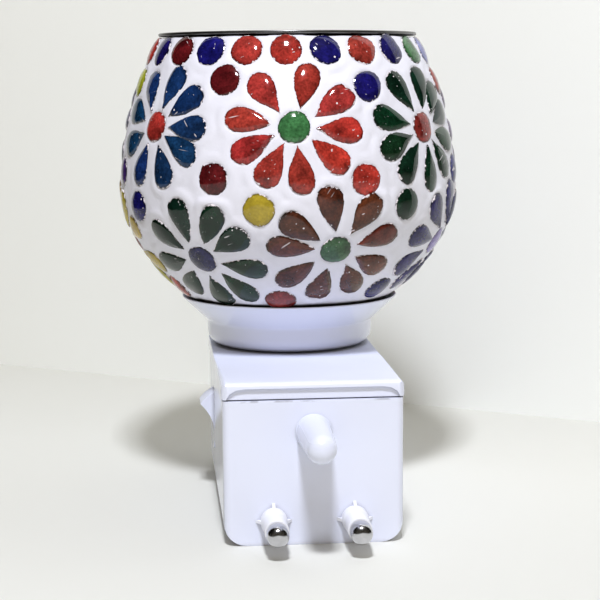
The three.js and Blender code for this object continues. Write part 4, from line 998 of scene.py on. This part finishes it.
def mosaic_chips():
    """Every chip: a top that domes as 1 - s^2 towards its middle, a round edge, a side and a flat back."""
    outline = chip_outlines()
    middle = outline.mean(1, keepdims=True)
    rings = [(middle, CHIP_PROUD + CHIP_DOME)]
    for share in CHIP_RINGS:
        rings.append((middle + (outline - middle) * share, CHIP_PROUD + CHIP_DOME * (1 - share**2)))
    rings += [(outline, CHIP_PROUD - CHIP_EDGE_DROP), (outline, -CHIP_DEPTH)]
    points = np.concatenate([
        chip_point[:, None] + ring[:, :, :1] * chip_along[:, None] + ring[:, :, 1:] * chip_up[:, None]
        + level * chip_facing[:, None]
        for ring, level in rings
    ], 1)
    each = points.shape[1]
    here = np.arange(CHIP_POINTS)
    beside = (here + 1) % CHIP_POINTS
    top = np.stack([np.zeros_like(here), 1 + here, 1 + beside], -1)
    starts = 1 + np.arange(len(rings) - 1) * CHIP_POINTS
    bands = [
        np.stack([a + here, b + here, b + beside, a + beside], -1)
        for a, b in zip(starts[:-1], starts[1:])
    ]
    start = (np.arange(len(chips)) * each)[:, None, None]
    faces = (top + start).reshape(-1, 3).tolist()
    faces += np.concatenate([(band + start).reshape(-1, 4) for band in bands]).tolist()
    faces += (starts[-1] + here[::-1] + start[:, 0]).tolist()
    mesh = bpy.data.meshes.new("mosaic_chips")
    mesh.from_pydata((points.reshape(-1, 3) * MM).tolist(), [], faces)
    melt = chip_colour * np.exp(chance.normal(0, MELT_SPREAD, chip_colour.shape))
    tint = mesh.attributes.new("glass_colour", "FLOAT_COLOR", "POINT")
    tint.data.foreach_set("color", np.repeat(melt, each, 0).ravel())
    seed = mesh.attributes.new("chip_seed", "FLOAT", "POINT")
    seed.data.foreach_set("value", np.repeat(chance.uniform(0, CHIP_SEED_SPAN, len(chips)), each))
    edge = mesh.attributes.new("cut_edge", "FLOAT", "POINT")
    at_edge = np.arange(each) > len(CHIP_RINGS) * CHIP_POINTS
    edge.data.foreach_set("value", np.tile(at_edge, len(chips)).astype(float))
    mesh.shade_smooth()
    mesh.set_sharp_from_angle(angle=CHIP_SHARP_FROM)
    add_piece("mosaic_chips", mesh, "globe", ["mosaic_coat"], chip_glass)


def mosaic_grout():
    """Grout skin: the globe's surface, drawn up or down to the chips' planes and easing off between them.

    Height = f sum(w h) / sum(w), with w = exp(-(gap / reach)^2), h the chip plane's height for each chip,
    a small weight that pulls to the plain globe, and f how far the wiping leaves it drawn. Under the chips
    the skin is hollow, between them it has low lumps, and at its two ends it rounds off.
    """
    azimuth = np.linspace(0, 2 * np.pi, GROUT_COLUMNS, endpoint=False)[None, :]
    distance = np.linspace(COAT_FOOT, CROWN_LENGTH, GROUT_ROWS)[:, None]
    point, facing, _, _ = on_globe(azimuth, distance)
    flat_point, flat_facing = point.reshape(-1, 3), facing.reshape(-1, 3)
    weight = np.full(len(flat_point), GROUT_HOLD)
    total = np.zeros(len(flat_point))
    nearest = np.full(len(flat_point), GROUT_SEARCH)
    for i in range(len(chips)):
        near = np.flatnonzero(np.linalg.norm(flat_point - chip_point[i], axis=1) < GROUT_SEARCH)
        gap = chip_distance(i, flat_point[near])
        nearest[near] = np.minimum(nearest[near], gap)
        share = np.exp(-((np.maximum(gap, 0) / GROUT_REACH) ** 2))
        level = (chip_point[i] - flat_point[near]) @ chip_facing[i] / (flat_facing[near] @ chip_facing[i])
        weight[near] += share
        total[near] += share * level
    lumps = sum(
        GROUT_LUMP * np.sin(k * (azimuth + GROUT_LUMP_TURN)) * np.cos(k * (GROUT_LUMP_RATE * distance + 1))
        for k in GROUT_LUMP_WAVES
    )
    nearest = nearest.reshape(GROUT_ROWS, GROUT_COLUMNS)
    drawn = GROUT_FOLLOW * (total / weight).reshape(GROUT_ROWS, GROUT_COLUMNS)
    height = drawn + lumps * np.clip(nearest / GROUT_LUMP_FADE, 0, 1)
    height = height - GROUT_HOLLOW * np.clip(-nearest / GROUT_HOLLOW_FADE, 0, 1)
    ends = np.minimum(distance - COAT_FOOT, CROWN_LENGTH - distance)
    height = height - GROUT_END_DROP * np.clip(1 - ends / GROUT_END_REACH, 0, 1) ** 2
    outer = point + facing * height[:, :, None]
    inner_rows = np.linspace(CROWN_LENGTH, COAT_FOOT, GROUT_INNER_ROWS)[:, None]
    inner_point, inner_facing, _, _ = on_globe(azimuth, inner_rows)
    inner = inner_point - inner_facing * COAT_THICKNESS
    points = np.concatenate([outer, inner])
    mesh_piece("mosaic_grout", points.reshape(-1, 3), grid_faces(len(points), GROUT_COLUMNS, True), "globe",
               ["mosaic_coat"], grout)


def globe_shell():
    """Glass of the globe: the outline set in by the coat, and set in again by the wall."""
    rows = np.linspace(GLASS_FOOT, CROWN_LENGTH, GLASS_ROWS)
    radius, height, lean_out, lean_up = globe_place(rows)
    outer = np.stack([radius - GLASS_OUTER * lean_out, height - GLASS_OUTER * lean_up], -1)
    inner = np.stack([radius - GLASS_INNER * lean_out, height - GLASS_INNER * lean_up], -1)
    points, faces = turned(np.concatenate([outer, inner[::-1]]), FINE_SIDES)
    mesh_piece("globe_shell", points, faces, "globe", ["globe_glass"], globe_glass)


globe_shell()
mosaic_grout()
mosaic_chips()


# Finishes of the solids that stay as they are
KEPT = {
    "switch_case": abs_white, "switch_contact_line": brass, "switch_contact_lamp": brass,
    "switch_bridge": brass, "lampholder_screw_shell": brass, "lampholder_centre_contact": brass,
    "lampholder_ring_nut": phenolic, "bulb_tip": steel, "bulb_insulator": black_glass,
    "bulb_stem": bulb_glass, "bulb_filament": tungsten, "wire_line": red_pvc, "wire_neutral": black_pvc,
    "wire_switched": red_pvc,
}
for kept_name, kept_finish in KEPT.items():
    kept_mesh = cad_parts[kept_name].data
    kept_mesh.materials.clear()
    kept_mesh.materials.append(kept_finish)


# Table, wall, light and camera

def stage_plane(name, low, high, matrix, tones):
    """A flat stage surface between two corners, with faint clouding, seen from its front only."""
    material, tree, shader, place = new_material(f"{name}_painted", Roughness=0.8)
    cloud = noise(tree, place, size=120, detail=3)
    dress(shader, Base_Color=blend(tree, cloud, *tones))
    behind = node(tree, "NewGeometry").outputs["Backfacing"]
    clear = node(tree, "BsdfTransparent")
    front = node(tree, "MixShader", {0: behind, 1: shader, 2: clear})
    tree.links.new(front.outputs[0], tree.nodes["Material Output"].inputs["Surface"])
    mesh = bpy.data.meshes.new(name)
    corners = [(low[0], low[1], 0), (high[0], low[1], 0), (high[0], high[1], 0), (low[0], high[1], 0)]
    mesh.from_pydata((np.array(corners) * MM).tolist(), [], [(0, 1, 2, 3)])
    mesh.transform(matrix)
    mesh.materials.append(material)
    plane = bpy.data.objects.new(name, mesh)
    bpy.context.scene.collection.objects.link(plane)


def area_lamp(name, place, aim, size, power, tone):
    """A square lamp at a place in millimetres that looks at another."""
    data = bpy.data.lights.new(name, "AREA")
    data.size = size * MM
    data.energy = power
    data.color = linear(tone)[:3]
    lamp = bpy.data.objects.new(name, data)
    lamp.location = [value * MM for value in place]
    direction = Matrix.Translation([(a - b) * MM for a, b in zip(aim, place)]).to_translation()
    lamp.rotation_euler = direction.to_track_quat("-Z", "Y").to_euler()
    bpy.context.scene.collection.objects.link(lamp)


stage_plane("table", (FLOOR_LEFT, -FLOOR_REACH), (FLOOR_REACH, FLOOR_REACH), Matrix.Identity(4),
            FLOOR_TONES)
upright = Matrix.Rotation(WALL_TURN, 4, "Z") @ Matrix.Translation((0, WALL_DISTANCE * MM, 0))
stage_plane("wall", (WALL_LEFT, 0), (WALL_RIGHT, FLOOR_REACH),
            upright @ Matrix.Rotation(math.pi / 2, 4, "X"), WALL_TONES)

area_lamp("key", KEY_PLACE, KEY_AIM, KEY_SIZE, KEY_POWER, KEY_TONE)

world = bpy.data.worlds.new("room")
world.use_nodes = True
world_tree = world.node_tree
sky = node(world_tree, "TexCoord").outputs["Generated"]
sky_side = node(world_tree, "SeparateXYZ", {"Vector": sky})
sky_share = ramp(world_tree, sky_side.outputs["Y"], end=SKY_FRONT)
ray = node(world_tree, "LightPath")
mirrored = ramp(world_tree, sky_side.outputs["Z"], CEILING_START, CEILING_FULL, SKY_MIRRORED,
                CEILING_MIRRORED)
lit_sky = node(world_tree, "Background", {
    "Color": blend(world_tree, sky_share, *SKY_TONES),
    "Strength": ramp(world_tree, ray.outputs["Is Glossy Ray"], low=SKY_LEVEL, high=mirrored),
})
seen_sky = node(world_tree, "Background", {"Color": linear(SKY_SEEN_TONE)})
sky_mix = node(world_tree, "MixShader", {0: ray.outputs["Is Camera Ray"], 1: lit_sky, 2: seen_sky})
world_tree.links.new(sky_mix.outputs[0], world_tree.nodes["World Output"].inputs["Surface"])
scene = bpy.context.scene
scene.world = world
scene.view_settings.view_transform = "Standard"

camera_data = bpy.data.cameras.new("photo_camera")
camera_data.sensor_width = SENSOR_WIDTH
camera_data.lens = SENSOR_WIDTH * FOCAL_PIXELS / PHOTO_PIXELS
camera_data.clip_start = CAMERA_NEAR * MM
camera = bpy.data.objects.new("photo_camera", camera_data)
camera.matrix_world = (
    Matrix.Translation([value * MM for value in CAMERA_PLACE])
    @ Matrix.Rotation(-CAMERA_YAW, 4, "Z")
    @ Matrix.Rotation(math.pi / 2 - CAMERA_PITCH, 4, "X")
    @ Matrix.Rotation(CAMERA_ROLL, 4, "Z")
)
scene.collection.objects.link(camera)
scene.camera = camera
